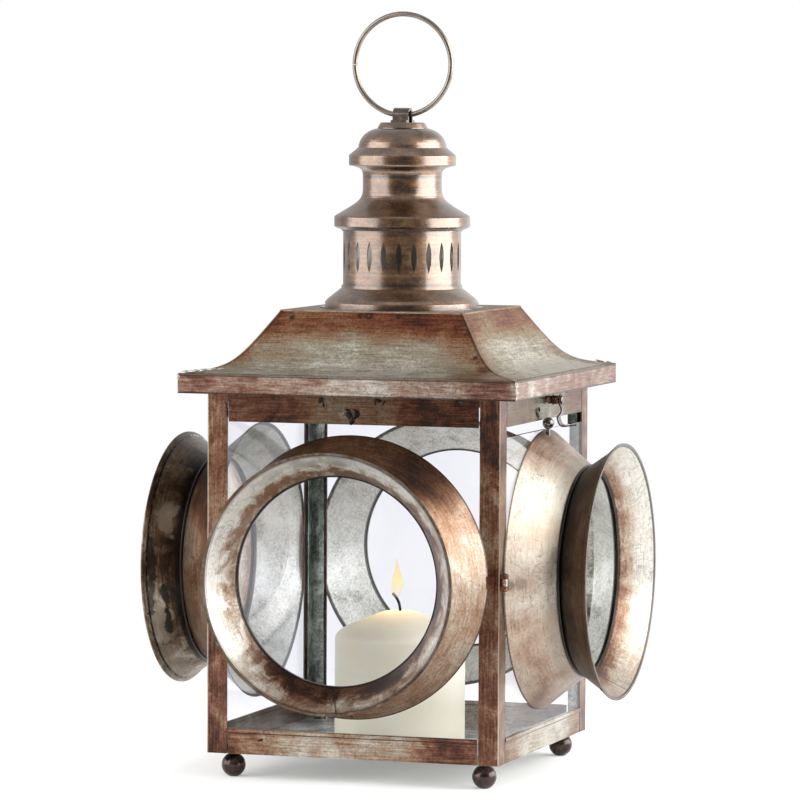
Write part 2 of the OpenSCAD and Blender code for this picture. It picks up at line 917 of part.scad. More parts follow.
floor_plate();
ball_feet();
foot_nuts();
at_side(side_left) post();  // post_front_left
at_side(side_front) post();  // post_front_right
at_side(side_right) post();  // post_back_right
at_side(side_back) post();  // post_back_left
glass_channels();
at_side(side_front) bottom_rail();  // bottom_rail_front
at_side(side_right) bottom_rail();  // bottom_rail_right
at_side(side_back) bottom_rail();  // bottom_rail_back
at_side(side_left) bottom_rail();  // bottom_rail_left
at_side(side_front) top_rail();  // top_rail_front
top_rail_right();
at_side(side_back) top_rail();  // top_rail_back
at_side(side_left) top_rail();  // top_rail_left
at_side(side_front) glass_pane();  // glass_front
at_side(side_back) glass_pane();  // glass_back
at_side(side_left) glass_pane();  // glass_left
door_glass();
door_glass_collar();
at_side(side_front) hood_cone();  // hood_front_cone
at_side(side_front) hood_bead();  // hood_front_bead
at_side(side_front) hood_flare();  // hood_front_flare
at_side(side_back) hood_cone();  // hood_back_cone
at_side(side_back) hood_bead();  // hood_back_bead
at_side(side_back) hood_flare();  // hood_back_flare
at_side(side_left) hood_cone();  // hood_left_cone
at_side(side_left) hood_bead();  // hood_left_bead
at_side(side_left) hood_flare();  // hood_left_flare
hood_cone();  // door_hood_cone
hood_bead();  // door_hood_bead
hood_flare();  // door_hood_flare
hood_tabs();
soffit_frame();
eave_band();
at_side(side_front) roof_panel();  // roof_panel_front
at_side(side_right) roof_panel();  // roof_panel_right
at_side(side_back) roof_panel();  // roof_panel_back
at_side(side_left) roof_panel();  // roof_panel_left
roof_top_plate();
vent_skirt();
vent_drum();
cap_neck();
cap_dome();
cap_collar();
ring_strap();
hanging_ring();
candle();
wick();
hinge_lugs();
hinge_pin();
door_knuckle();
latch_stud();
latch_spring();
latch_knob();
latch_strip();
keeper_ball();
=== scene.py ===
import math
from functools import partial

import bpy
import numpy as np
from mathutils import Matrix


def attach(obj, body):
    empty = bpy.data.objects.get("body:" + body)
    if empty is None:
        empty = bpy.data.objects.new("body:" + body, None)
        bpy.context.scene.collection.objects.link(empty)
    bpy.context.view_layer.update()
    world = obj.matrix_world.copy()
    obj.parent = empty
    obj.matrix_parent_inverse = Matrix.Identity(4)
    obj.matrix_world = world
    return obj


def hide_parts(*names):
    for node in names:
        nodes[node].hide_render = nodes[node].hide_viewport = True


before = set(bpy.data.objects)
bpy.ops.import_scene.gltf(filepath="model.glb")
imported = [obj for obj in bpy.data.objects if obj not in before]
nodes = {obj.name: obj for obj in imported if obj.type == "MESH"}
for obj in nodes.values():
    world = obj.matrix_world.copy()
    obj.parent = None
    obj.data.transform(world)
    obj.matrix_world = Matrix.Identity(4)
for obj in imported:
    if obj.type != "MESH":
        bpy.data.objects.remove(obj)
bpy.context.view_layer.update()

print("frame loaded,", len(nodes), "nodes")

# The four sides, as the turn in degrees that takes a piece made for the right side (+X) to each of them
sides = {"right": 0, "back": 90, "left": 180, "front": 270}
# Directions on a side: out of it, along it and up, and square to the roof's two hips, or to the posts' corners
outX, alongY, upZ = (1, 0, 0), (0, 1, 0), (0, 0, 1)
hipA, hipB = (0.7071, 0.7071, 0), (0.7071, -0.7071, 0)
hoodHeight = 118.195  # mm, the middle of the hoods
perMetre = 1000  # mm in a metre: every place and size below is in mm, unless its note says metres


# Small tools for colours, nodes and meshes

# sRGB hex to the linear colour that a shader takes: each channel through the sRGB curve
def linear(hexText):
    parts = [int(hexText[i:i + 2], 16) / 255 for i in (1, 3, 5)]
    return [p / 12.92 if p <= 0.04045 else ((p + 0.055) / 1.055) ** 2.4 for p in parts] + [1.0]


# Cosine and sine of an angle in degrees
def cosSin(degrees):
    angle = math.radians(degrees)
    return math.cos(angle), math.sin(angle)


# The setting that a kind's second word goes to
modes = {"Math": "operation", "VectorMath": "operation", "MapRange": "interpolation_type", "Mix": "data_type"}


# Adds one node with its settings, then fills or links its inputs, which go by name or number, or by several numbers
# for a span. A map range reads from 1 to 2 and gives 3 to 4; a mix has its share at 0, numbers at 2 and 3, and colours
# at 6 and 7; a colour ramp takes {place: hex} stops. Gives its first output, the one that is asked for, or them all.
def addNode(tree, kind, inputs=None, take=0, stops=None, **settings):
    kind, *mode = kind.split()
    node = tree.nodes.new("ShaderNode" + kind)
    if mode:
        settings[modes[kind]] = mode[0]
    for key, value in settings.items():
        setattr(node, key, value)
    for keys, value in (inputs or {}).items():
        for key, value in zip(keys, value) if isinstance(keys, tuple) else [(keys, value)]:
            if isinstance(value, bpy.types.NodeSocket):
                tree.links.new(value, node.inputs[key])
            else:
                node.inputs[key].default_value = value
    for index, (place, colour) in enumerate((stops or {}).items()):
        points = node.color_ramp.elements
        point = points[index] if index < 2 else points.new(place)
        point.position = place
        point.color = linear(colour)
    return node.outputs if take is None or not node.outputs else node.outputs[take]


# A new material, the function that adds nodes to it, and its texture coordinates
def newMaterial(name):
    material = bpy.data.materials.new(name)
    material.use_nodes = True
    material.node_tree.nodes.clear()
    add = partial(addNode, material.node_tree)
    return material, add, add("TexCoord", take=None)


def addObject(name, data):
    made = bpy.data.objects.new(name, data)
    bpy.context.scene.collection.objects.link(made)
    return made


# Gives CAD nodes their material
def dress(names, material):
    for name in names:
        slots = nodes[name].data.materials
        slots.clear()
        slots.append(material)


# A mesh from an array of points in mm and a list of faces, smooth, with its object at the origin
def newPiece(name, points, faces, material, body, slot=None):
    mesh = bpy.data.meshes.new(name)
    mesh.from_pydata(np.asarray(points, float) / perMetre, [], faces)
    mesh.polygons.foreach_set("use_smooth", [True] * len(mesh.polygons))
    mesh.materials.append(material)
    piece = addObject(name, mesh)
    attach(piece, body)
    return piece


# Faces of a grid of rows by columns of points whose columns close into a ring, with a fan to one point at each end,
# which come after the grid's points: four neighbours make a face
def ringFaces(rows, columns, offset=0):
    grid = np.arange(rows * columns).reshape(rows, columns) + offset
    turned = np.roll(grid, -1, axis=1)
    quads = np.stack([grid[:-1], turned[:-1], turned[1:], grid[1:]], -1).reshape(-1, 4)
    foot = np.full(columns, rows * columns + offset)
    low = np.stack([turned[0], grid[0], foot], -1)
    high = np.stack([grid[-1], turned[-1], foot + 1], -1)
    return quads.tolist() + low.tolist() + high.tolist()


# Steps that the metal finishes share

# How far a place lies along a direction, or how far to either side of the middle where that is folded
def placeAlong(add, place, direction, folded=False):
    along = add("VectorMath DOT_PRODUCT", {0: place, 1: direction}, "Value")
    return add("Math ABSOLUTE", {0: along}) if folded else along


# Adds to a level the swing of each noise about its middle, times its gain
def addSwings(add, level, swings):
    for noise, gain in swings:
        swing = add("Math SUBTRACT", {0: noise, 1: 0.5})
        level = add("Math MULTIPLY_ADD", {0: swing, 1: gain, 2: level})
    return level


# Lays a colour over the one below, from nothing where a value is at its outer limit to full strength at the inner one
def layOver(add, colour, value, outer, inner, strength, hexText):
    mask = add("MapRange SMOOTHSTEP", {0: value, 1: outer, 2: inner, 4: strength})
    return add("Mix RGBA", {0: mask, 6: colour, 7: linear(hexText)}, 2)


# Metal under a coat of lacquer. A height of 1 stands 1 mm proud in the bump.
def metalSurface(add, colour, rough, height, look):
    bump = add("Bump", {"Strength": 1.0, "Distance": 1 / perMetre, "Height": height})
    shader = add("BsdfPrincipled", {"Base Color": colour, "Metallic": look["metallic"], "Roughness": rough,
                                    "Normal": bump, "Specular Tint": linear(look["glancing"]),
                                    "Coat Weight": look["coat"], "Coat Roughness": look["coatRough"],
                                    "Coat IOR": look["coatIor"], "Coat Normal": bump})
    add("OutputMaterial", {"Surface": shader})


# Patina on sheet metal

# What all sheets share. Ranges of the noises that give torn patches, hairs, pits and cracks, where the cracks gather,
# and the range that roughness follows. Then, as shares of a mark's radius: how far specks and patches push its outline
# about, how far a run is drawn back for that, and its solid core.
sheetWear = {"torn": (0.42, 0.6), "hair": (0.6, 0.68), "pit": (0.36, 0.28), "crackLevel": 0.51,
             "crack": (0.003, 0.013), "cracked": (0.45, 0.6), "rough": (0.3, 0.7),
             "speckPush": 0.8, "patchPush": 5, "drawnBack": 2.9, "core": 0.45}

flareShape = {"out": 123, "radius": 66, "growth": 0.74}  # the outer radius there, and what it gains for each mm out


# A place on a flare from its distance out and its angle in degrees round from the top towards the viewer's right:
# (out, r sin a, axis height + r cos a), where r is the flare's radius there
def flarePlace(out, angle):
    radius = flareShape["radius"] + flareShape["growth"] * (out - flareShape["out"])
    c, s = cosSin(angle)
    return out, radius * s, hoodHeight + radius * c


# Colour, roughness and height of one stained or bare sheet. Its share of zinc over brown is a base share, plus four
# noises (clouds where the stain was wiped, grain along the brush strokes, specks, patches where it tore off), plus a
# rise along each fade, with a ragged front. The share picks the colour. Hair scratches, pits and cracks where the
# lacquer tore darken it. Over it lie stains round a point (or rings, where they have a radius as last value), runs of
# stain from one place on a flare to another, and lines on a plane.
def sheetFinish(add, place, look):
    wear = sheetWear
    moved = add("VectorMath", {0: place, 1: look["shift"]})
    brushed, combed = [add("Mapping", {"Vector": moved, "Scale": look[name]}) for name in ("brush", "hair")]
    # Each noise: what it is drawn on, its size, detail, roughness and distortion
    cloud, grain, speck, hair, patch = [
        add("TexNoise", {"Vector": at, "Scale": 1 / size, "Detail": detail, "Roughness": rough, "Distortion": warp},
            None)
        for at, size, detail, rough, warp in (
            (moved, look["cloud"], 3, 0.5, 0.6), (brushed, 1, 5, 0.65, 0), (moved, look["speck"], 3, 0.7, 0),
            (combed, 1, 2, 0.5, 0), (moved, look["patch"], 5, 0.62, 0.9))]
    ragged = add("VectorMath", {0: patch[1], 1: (-0.5, -0.5, -0.5)})
    ragged = add("VectorMath MULTIPLY_ADD", {0: ragged, 1: [look["ragged"]] * 3, 2: place})
    cloud, grain, speck, hair, patch = cloud[0], grain[0], speck[0], hair[0], patch[0]
    torn = add("MapRange SMOOTHSTEP", {0: patch, (1, 2): wear["torn"]})
    share = addSwings(add, look["zinc"], ((cloud, look["clouding"]), (grain, look["graining"]),
                                          (speck, look["specking"]), (torn, look["patching"])))
    for direction, start, end, gain, *folded in look["fades"]:
        rise = add("MapRange SMOOTHSTEP", {0: placeAlong(add, ragged, direction, folded), 1: start, 2: end})
        share = add("Math MULTIPLY_ADD", {0: rise, 1: gain, 2: share})
    colour = add("ValToRGB", {0: share}, stops=look["colours"])
    tone = add("Math MULTIPLY_ADD", {0: speck, 1: look["toning"], 2: 1 - look["toning"] / 2})
    masks = [add("MapRange SMOOTHSTEP", {0: part, (1, 2): wear[name], 3: 1.0, 4: 1 - look[name + "Depth"]})
             for part, name in ((hair, "hair"), (speck, "pit"))]
    edge = add("Math ABSOLUTE", {0: add("Math SUBTRACT", {0: patch, 1: wear["crackLevel"]})})
    depth = add("MapRange", {0: cloud, (1, 2): wear["cracked"], 3: 1.0, 4: 1 - look["cracks"]})
    masks.append(add("MapRange", {0: edge, (1, 2): wear["crack"], 3: depth, 4: 1.0}))
    for mask in masks:
        tone = add("Math MULTIPLY", {0: tone, 1: mask})
    colour = add("VectorMath SCALE", {0: colour, "Scale": tone})
    height = 0.0
    for part, gain in ((cloud, look["dents"]), (grain, look["tooth"]), (hair, -look["tooth"])):
        height = add("Math MULTIPLY_ADD", {0: part, 1: gain, 2: height})
    # Each mark: the distance from it, its radius, how far specks push that, where its middle lies, whether it has two
    # edges, its colour and its strength
    marks = []
    for centre, radius, hexText, strength, *ring in look["stains"]:
        away = add("VectorMath DISTANCE", {0: place, 1: centre}, "Value")
        push = radius * wear["speckPush"]
        marks.append((away, radius, push, sum(ring) + push / 2, ring, hexText, strength))
    for start, end, radius, hexText, strength in look["runs"]:
        start, end = flarePlace(*start), flarePlace(*end)
        run = np.subtract(end, start)
        slope = run / run.dot(run)
        along = add("Math ADD", {0: placeAlong(add, place, slope), 1: -slope.dot(start)}, use_clamp=True)
        nearest = add("VectorMath MULTIPLY_ADD", {0: along, 1: run, 2: start})
        away = add("VectorMath DISTANCE", {0: place, 1: nearest}, "Value")
        away = add("Math MULTIPLY_ADD", {0: patch, 1: radius * wear["patchPush"], 2: away})
        marks.append((away, radius, radius * wear["speckPush"], radius * wear["drawnBack"], False, hexText, strength))
    for direction, at, width, hexText, strength, *folded in look["lines"]:
        away = placeAlong(add, place, direction, folded)
        marks.append((away, width, width, at + width / 2, True, hexText, strength))
    for away, radius, push, middle, twoEdges, hexText, strength in marks:
        away = add("Math MULTIPLY_ADD", {0: speck, 1: push, 2: away})
        away = add("Math SUBTRACT", {0: away, 1: middle})
        if twoEdges:
            away = add("Math ABSOLUTE", {0: away})
        colour = layOver(add, colour, away, radius, radius * wear["core"], strength, hexText)
    return colour, add("MapRange", {0: speck, (1, 2): wear["rough"], (3, 4): look["rough"]}), height


# Brushes one look over a whole sheet, or two where a hood's sheet has an outer and an inner face around the hood's
# axis, and a seam. Places are turned so that +X points out of the sheet's side and +Y runs along it.
def patinaSheet(name, turn, look, inner=None, seam=None):
    material, add, coords = newMaterial(name)
    turned = (0, 0, -math.radians(turn))
    place = add("Mapping", {"Vector": coords["Object"], "Rotation": turned, "Scale": [perMetre] * 3})
    colour, rough, height = sheetFinish(add, place, look)
    if inner:
        colourIn, roughIn, heightIn = sheetFinish(add, place, inner)
        centred = add("VectorMath SUBTRACT", {0: place, 1: (0, 0, hoodHeight)})
        spoke = add("VectorMath MULTIPLY", {0: centred, 1: (0, 1, 1)})
        facing = add("Mapping", {"Vector": coords["Normal"], "Rotation": turned}, vector_type="VECTOR")
        isOut = add("Math GREATER_THAN", {0: placeAlong(add, spoke, facing), 1: 0.0})
        colour = add("Mix RGBA", {0: isOut, 6: colourIn, 7: colour}, 2)
        rough = add("Mix", {0: isOut, 2: roughIn, 3: rough})
        height = add("Mix", {0: isOut, 2: heightIn, 3: height})
        # The lap is a plane through the axis, turned a little as it goes out: dark in its step and raised beside it
        parts = add("SeparateXYZ", {0: spoke}, None)
        away = add("SeparateXYZ", {0: place})
        angle = add("Math ARCTAN2", {0: parts[2], 1: parts[1]})
        lean = add("Math MULTIPLY_ADD", {0: away, 1: math.radians(seam["lean"]),
                                         2: -math.radians(seam["lean"] * seam["from"] + seam["angle"])})
        across = add("Math MULTIPLY", {0: add("Math ADD", {0: angle, 1: lean}), 1: seam["radius"]})
        near = add("Math ABSOLUTE", {0: across})
        colour = layOver(add, colour, near, *seam["edge"], seam["strength"], seam["colour"])
        step = add("MapRange SMOOTHSTEP", {0: across, (1, 2): seam["step"], 4: seam["height"]})
        lap = add("Math MULTIPLY", {0: step, 1: add("MapRange SMOOTHSTEP", {0: across, (1, 2): seam["taper"]})})
        height = add("Math ADD", {0: height, 1: lap})
    metalSurface(add, colour, rough, height, look)
    return material


# Brown stain and lacquer wiped over galvanised steel sheet: red brown where it is thick, grey green zinc where it is
# thin, brushed along the length of each piece. It gives the eye a worn copper that turns pale in the light.
# Sizes of the noises are in mm; brush and hair are scales per mm, small along the strokes.
patinaColours = {0: "#2E160C", 0.2: "#5C321D", 0.38: "#7A523C", 0.56: "#95785F", 0.74: "#A79987", 1: "#CBC5B8"}
roofColours = {0: "#331609", 0.2: "#713A20", 0.4: "#8C6445", 0.58: "#9B856E", 0.76: "#A69D89", 1: "#DAD6CA"}
hoodColours = {0: "#2E190C", 0.2: "#5A3720", 0.38: "#7A563C", 0.56: "#957962", 0.74: "#A89C8C", 1: "#D4CFC5"}
oliveColours = {0: "#1C1109", 0.25: "#432D1C", 0.5: "#66503A", 0.75: "#8C7A66", 1: "#B8AC9C"}
paleColours = {0: "#32190E", 0.2: "#5E3A28", 0.4: "#8A6853", 0.6: "#B29F8C", 0.8: "#C9BFB2", 1: "#DAD6CD"}
railLook = {
    "shift": (0, 0, 0), "colours": patinaColours, "zinc": 0.3, "cloud": 30, "clouding": 1.1, "speck": 1.5,
    "specking": 0.45, "patch": 16, "patching": 0.16, "ragged": 14, "brush": (0.5, 0.06, 1.1), "graining": 1.05,
    "hair": (2.5, 0.07, 3.2), "hairDepth": 0.35, "pitDepth": 0.35, "toning": 0.65, "cracks": 0.3, "dents": 0.25,
    "tooth": 0.03, "metallic": 0.85, "rough": (0.32, 0.48), "glancing": "#FFFFFF", "coat": 0.45, "coatRough": 0.3,
    "coatIor": 1.5, "fades": [], "stains": [], "runs": [], "lines": [],
}
postLook = dict(
    railLook, brush=(0.8, 0.8, 0.05), hair=(2.6, 2.6, 0.06), cloud=34, zinc=0.25, clouding=1.0, graining=0.9,
    # Along each post's outer corner runs a thin pale line: a painted highlight where the corner's edge catches the
    # light
    lines=[(hipA, 123.6, 0.35, "#C9B8A6", 0.75), (hipB, 123.6, 0.35, "#C9B8A6", 0.75)])
bottomLook = dict(railLook, zinc=0.69, fades=[(alongY, 30, 66, -0.38, True)], lines=[(upZ, 26.4, 0.5, "#2A1A12", 0.7)])
# The top rail's colours are darker than the other rails': painted shade under the eave, over its patina
topLook = dict(
    railLook, zinc=0.44, fades=[(alongY, 10, 55, -0.3, True)], coat=0.3,
    colours={0: "#2A1408", 0.25: "#5A321C", 0.45: "#6B4F38", 0.68: "#716755", 1: "#98948A"})
roofLook = dict(
    railLook, colours=roofColours, glancing="#A09080", brush=(0.09, 0.05, 0.9), hair=(0.2, 0.06, 2.8), cloud=45,
    clouding=0.7, graining=0.7, patching=0.06, ragged=8, zinc=0.71, rough=(0.34, 0.5), hairDepth=0.45,
    fades=[(upZ, 246, 261, -0.52), (alongY, 42, 84, -0.33, True), (upZ, 243, 234, 0.22)],
    # On each hip: a dark line of solder, and on its crest a thin pale line that is a painted highlight
    lines=[(upZ, 232.4, 0.9, "#3A2018", 0.7), (hipA, 1.1, 0.7, "#4A2A1C", 0.65, True),
           (hipB, 1.1, 0.7, "#4A2A1C", 0.65, True), (hipA, 0.1, 0.45, "#B49A85", 0.6, True),
           (hipB, 0.1, 0.45, "#B49A85", 0.6, True)])
bandLook = dict(
    railLook, zinc=0.7, patching=0.1, cloud=24, brush=(0.08, 0.08, 0.8), hair=(0.07, 0.07, 2.4), clouding=1.2,
    # The fade that lifts the share from 95 to 101 along paints the band's right face paler: a painted highlight from
    # the right soft box
    graining=1.3, fades=[(alongY, 20, 90, -0.38, True), (alongY, 95, 101, 0.36), (outX, 50, -50, -0.24)],
    lines=[(upZ, 221.7, 0.8, "#20130E", 0.8), (upZ, 231.8, 0.6, "#2A1610", 0.7)],
    colours={0: "#3A1B12", 0.2: "#653D30", 0.42: "#835F4F", 0.65: "#9C8675", 1: "#CBC2B8"})

dress(["post_front_left", "post_back_left"], patinaSheet("patinaPostLeft", sides["left"], postLook))
# The right posts are painted paler than the left ones, lightest in their middle and towards their right face: a painted
# highlight, laid into the patina, where the right soft box lights them
dress(["post_front_right", "post_back_right"], patinaSheet("patinaPostRightPaintedHighlight", sides["right"], dict(
    postLook, zinc=0.4, fades=[(upZ, 150, 190, -0.25), (upZ, 80, 40, -0.12), (outX, 84, 87.3, 0.16)])))

# Burn marks where the solder iron stood on the other side of the sheet: place out, along and up, radius, colour,
# strength, and the radius of the ring where it left one
roofBurns = {
    "front": [((58.5, -47.0, 264.1), 2.6, "#2C140B", 0.85), ((57.1, -6.2, 265.9), 2.8, "#2C140B", 0.8),
              ((57.1, -1.0, 265.9), 1.3, "#2C140B", 0.8, 1.8), ((57.2, 16.7, 265.8), 2.6, "#2C140B", 0.75),
              ((58.8, 13.0, 263.6), 1.5, "#341A0F", 0.6), ((62.4, 61.4, 258.9), 3.2, "#241009", 0.85),
              ((64.0, 59.0, 256.4), 2.0, "#2C140B", 0.6), ((73.4, 67.9, 244.2), 2.8, "#241009", 0.8),
              ((75.4, 70.0, 241.9), 1.6, "#241009", 0.7), ((80.0, 76.0, 236.0), 6.0, "#4A2416", 0.5)],
    "right": [((58.5, 20.0, 264.1), 1.5, "#6A4632", 0.6, 2.0), ((60.0, -30.0, 262.1), 1.5, "#6A4632", 0.5, 2.0)],
    "back": [((58.5, 32.0, 264.1), 1.5, "#2C140B", 0.8, 2.2), ((57.1, -12.0, 265.9), 1.7, "#2C140B", 0.8, 2.2)],
    "left": [((58.5, 8.0, 264.1), 1.5, "#2C140B", 0.8, 2.2), ((60.5, -48.0, 261.9), 2.4, "#241009", 0.7)],
}
topBurns = {
    "front": [((87.5, -18.8, 219.0), 2.6, "#2A1810", 0.8), ((87.5, 14.5, 219.6), 2.4, "#2A1810", 0.8),
              ((87.5, 62.0, 219.5), 3.0, "#22120B", 0.8), ((87.5, -48.0, 219.6), 2.2, "#2A1810", 0.6)],
    "back": [((87.5, 22.0, 219.0), 2.6, "#2A1810", 0.8), ((87.5, -40.0, 218.6), 2.2, "#2A1810", 0.7)],
    "left": [((87.5, 5.0, 219.0), 2.6, "#2A1810", 0.8), ((87.5, 51.0, 218.6), 2.0, "#2A1810", 0.7)],
    "right": [((87.5, -17.0, 211.0), 3.4, "#3A261B", 0.6), ((87.5, 44.0, 218.6), 2.0, "#2A1810", 0.6)],
}
# Each side shows its own part of the noise
sideShift = {"front": (0, 0, 0), "right": (0, 210, 40), "back": (0, 430, 90), "left": (0, 650, 20)}
# Sheets that all four sides have: material, look, marks, and how much paler the right side is painted: a
# painted highlight where the right soft box lights that side
sheets = {
    "bottom_rail_": ("patinaBottomRail_", bottomLook, {}, 0.24),
    "top_rail_": ("patinaPaintedShadeTopRail_", topLook, topBurns, 0.3),
    "roof_panel_": ("patinaRoof_", roofLook, roofBurns, 0.18),
}
for side, turn in sides.items():
    for prefix, (name, look, burns, paintedRightLight) in sheets.items():
        # The right side's sheets are painted paler, a painted highlight standing in for the right soft box
        look = dict(look, shift=sideShift[side], stains=burns.get(side, []),
                    zinc=look["zinc"] + (paintedRightLight if side == "right" else 0))
        if prefix + side == "roof_panel_back":
            look["glancing"] = "#6A5C4C"
        dress([prefix + side], patinaSheet(name + side, turn, look))
dress(["eave_band"], patinaSheet("patinaEaveBand", sides["front"], bandLook))
dress(["roof_top_plate"], patinaSheet("patinaRoofTop", 0, dict(roofLook, zinc=0.6, fades=[])))
print("body and roof finished")

# Hoods: stain outside, tin and heat marks inside

coneLook = dict(
    railLook, brush=(0.9, 0.09, 0.09), hair=(2.8, 0.07, 0.07), cloud=38, zinc=0.6, clouding=1.2, ragged=16,
    graining=0.7, specking=0.3, cracks=0.4, patch=24, patching=0.05, colours=hoodColours, dents=0.6,
    fades=[(upZ, 140, 190, -0.42)], lines=[(outX, 88.1, 0.6, "#2A1A12", 0.8)])
# Bare galvanised sheet: pale grey with a soft crystal speckle, a few grey soot clouds and dark cut edges
galvanisedLook = dict(
    railLook, cloud=24, brush=(0.4, 0.4, 0.4), speck=1.3, clouding=1.7, graining=0.6, specking=0.9, zinc=0.8,
    colours={0: "#5E5D54", 0.3: "#9C9C90", 0.6: "#DADAD0", 1: "#F8F8F0"}, patch=11, patching=0.18,
    toning=0.6, hairDepth=0.12, pitDepth=0.6, rough=(0.3, 0.5), dents=0.9, tooth=0.02, coat=0.0, cracks=0.15)
hoodBack = dict(galvanisedLook, lines=[(outX, 88.2, 1.0, "#35322B", 0.9), (outX, 112.7, 0.9, "#35322B", 0.85)])
flareOut = dict(
    coneLook, colours=oliveColours, zinc=0.46, clouding=0.8, fades=[(outX, 127, 115, -0.45)],
    # The broad near-black line at 115.6 out is the bead's own dark edge and the painted shade of the gap beside it
    lines=[(outX, 131.0, 0.5, "#1A0F0A", 0.9), (outX, 115.6, 2.2, "#0F0805", 0.95)])
flareIn = dict(
    coneLook, zinc=0.92, clouding=0.8, graining=0.5, specking=0.4, patch=15, patching=0.08, ragged=6,
    colours=paleColours, fades=[(outX, 128, 116, -0.5), (upZ, 92, 58, -0.3)],
    lines=[(outX, 115.2, 0.9, "#1E120C", 0.85), (outX, 133.6, 0.6, "#2C1D15", 0.85),
           (outX, 132.6, 0.3, "#6A4A3A", 0.6)])

# What each hood has of its own: the angle of its seam, and changes to the looks of its cone and of its flare outside
# and inside. The right hood is the door's.
hoods = {
    "front": {
        "seam": -91,
        "cone": {"zinc": 0.56, "graining": 0.65, "specking": 0.4,
                 # The cone is painted paler on its right side, where it faces the right soft box: a painted highlight
                 "fades": [(upZ, 120, 185, -0.34), (alongY, 20, 60, 0.14)]},
        "in": {"zinc": 0.8, "ragged": 11, "patch": 13, "patching": 0.24,
               "colours": {0: "#32190E", 0.2: "#5E3A28", 0.4: "#8A6853", 0.6: "#B8A592", 0.8: "#D8CEC1",
                           1: "#EAE6DE"},
               # The inner face is painted paler on its left, where it turns to the right soft box: a painted reflection
               "fades": [(outX, 129, 120, -0.46), (upZ, 90, 62, -0.26), (alongY, -20, -60, 0.26),
                         (upZ, 160, 178, 0.24), (alongY, 30, 58, -0.16)],
               "stains": [((132.0, -52.6, 168.5), 1.5, "#3A322C", 0.8), ((130.5, -58.0, 85.0), 1.7, "#4A4038", 0.7),
                          ((131.5, 40.0, 60.0), 1.6, "#2E2019", 0.8), ((128.0, 5.0, 185.0), 5.0, "#8A8884", 0.5),
                          ((120.0, 60.0, 100.0), 6.0, "#4A4440", 0.5)],
               "runs": [
                   ((129, -40), (129, -15), 4.0, "#B9BCBC", 0.45), ((129, -15), (129, 12), 4.0, "#B0B3B4", 0.45),
                   ((119, -64), (119, -38), 4.2, "#926750", 0.6), ((119.5, -38), (120, -14), 4.8, "#87593F", 0.7),
                   ((120, -14), (119.5, 10), 4.6, "#7E543D", 0.7), ((119, 10), (118.5, 30), 3.6, "#74523F", 0.6)]},
    },
    "back": {"seam": -75},
    "left": {
        "seam": -110,
        "cone": {"zinc": 0.42},
        "out": {"zinc": 0.55, "clouding": 1.7, "patching": 0.22, "graining": 1.0, "cloud": 26, "patch": 15,
                "fades": [(outX, 123, 115, -0.35), (upZ, 98, 66, 0.2), (upZ, 150, 176, -0.3)],
                "runs": [
                    ((123, 59.2), (124, 69.1), 6, "#A69A88", 0.5), ((127, 112.3), (127, 127.7), 7, "#A99D8C", 0.6),
                    ((128, 138.5), (129, 160), 7, "#9C8F7E", 0.45), ((129.6, 77.1), (128.8, 95.1), 2.6, "#1A110B", 0.8),
                    ((128.8, 95.1), (129.6, 111.7), 2.4, "#1A110B", 0.8),
                    ((123, 100.7), (122.3, 112.6), 2.4, "#140C08", 0.9),
                    ((122.3, 112.6), (123.2, 126.3), 2.3, "#140C08", 0.9),
                    ((121, 81.3), (122, 91.9), 2.6, "#1A110B", 0.5)]},
    },
    "right": {
        "seam": -83,
        "cone": {"zinc": 0.69, "clouding": 1.4, "graining": 0.4, "specking": 0.3, "patching": 0.03,
                 "colours": {0: "#3A2013", 0.2: "#65402C", 0.4: "#8A6954", 0.6: "#AC9683", 0.8: "#BAAD9D",
                             1: "#CDC6BA"},
                 "fades": [(upZ, 172, 197, -0.26), (upZ, 100, 40, -0.16)],
                 # The broad grey line at 111 out, beside the bead, is a painted reflection of the flare in the cone
                 "lines": [(outX, 88.1, 0.6, "#2A1A12", 0.8), (outX, 111.0, 5.0, "#807B6C", 0.4)],
                 "stains": [((90.5, -77.0, 143.0), 3.0, "#7C7770", 0.6), ((90.5, -74.0, 96.0), 2.6, "#7C7770", 0.6),
                            ((91.0, -78.5, 116.0), 4.0, "#5E524A", 0.7), ((96.0, -74.5, 117.0), 5.0, "#6E635B", 0.55),
                            ((104.0, -66.0, 150.0), 2.2, "#8A857E", 0.5)]},
        "out": {"zinc": 0.42},
        "in": {"lines": [(outX, 115.3, 1.2, "#1E120C", 0.85), (outX, 133.5, 0.7, "#241812", 0.85)]},
    },
}
# A hood's lap seam: how it leans in degrees for each mm out, from where and at what radius. Then the edges, strength
# and colour of its dark line, and its step: where it rises and how high, and where that has tapered off.
flareSeam = {"lean": -0.32, "from": 114, "radius": 66, "edge": (0.75, 0.3), "strength": 0.8, "colour": "#21140E",
             "step": (-0.4, 0.4), "height": 0.35, "taper": (9.0, 3.0)}
coneSeam = dict(flareSeam, lean=-0.05)
coneSeamTurn = 3  # degrees that the cone's seam stands round from the flare's
beadLook = dict(coneLook, zinc=0.0, clouding=0.3, coat=0.6, colours={0: "#0F0906", 1: "#3A261B"})
for side, hood in hoods.items():
    turn, shift, prefix = sides[side], {"shift": sideShift[side]}, "hood_" + side + "_"
    if side == "right":
        prefix = "door_hood_"
    coneOwn, outOwn, inOwn = [hood.get(part, {}) for part in ("cone", "out", "in")]
    dress([prefix + "cone"], patinaSheet("patinaCone_" + prefix, turn, dict(coneLook, **coneOwn, **shift), hoodBack,
                                         dict(coneSeam, angle=hood["seam"] + coneSeamTurn)))
    dress([prefix + "flare"], patinaSheet("patinaFlare_" + prefix, turn, dict(flareOut, **outOwn, **shift),
                                          dict(flareIn, **inOwn, **shift), dict(flareSeam, angle=hood["seam"])))
    dress([prefix + "bead"], patinaSheet("patinaBead_" + prefix, turn, beadLook))
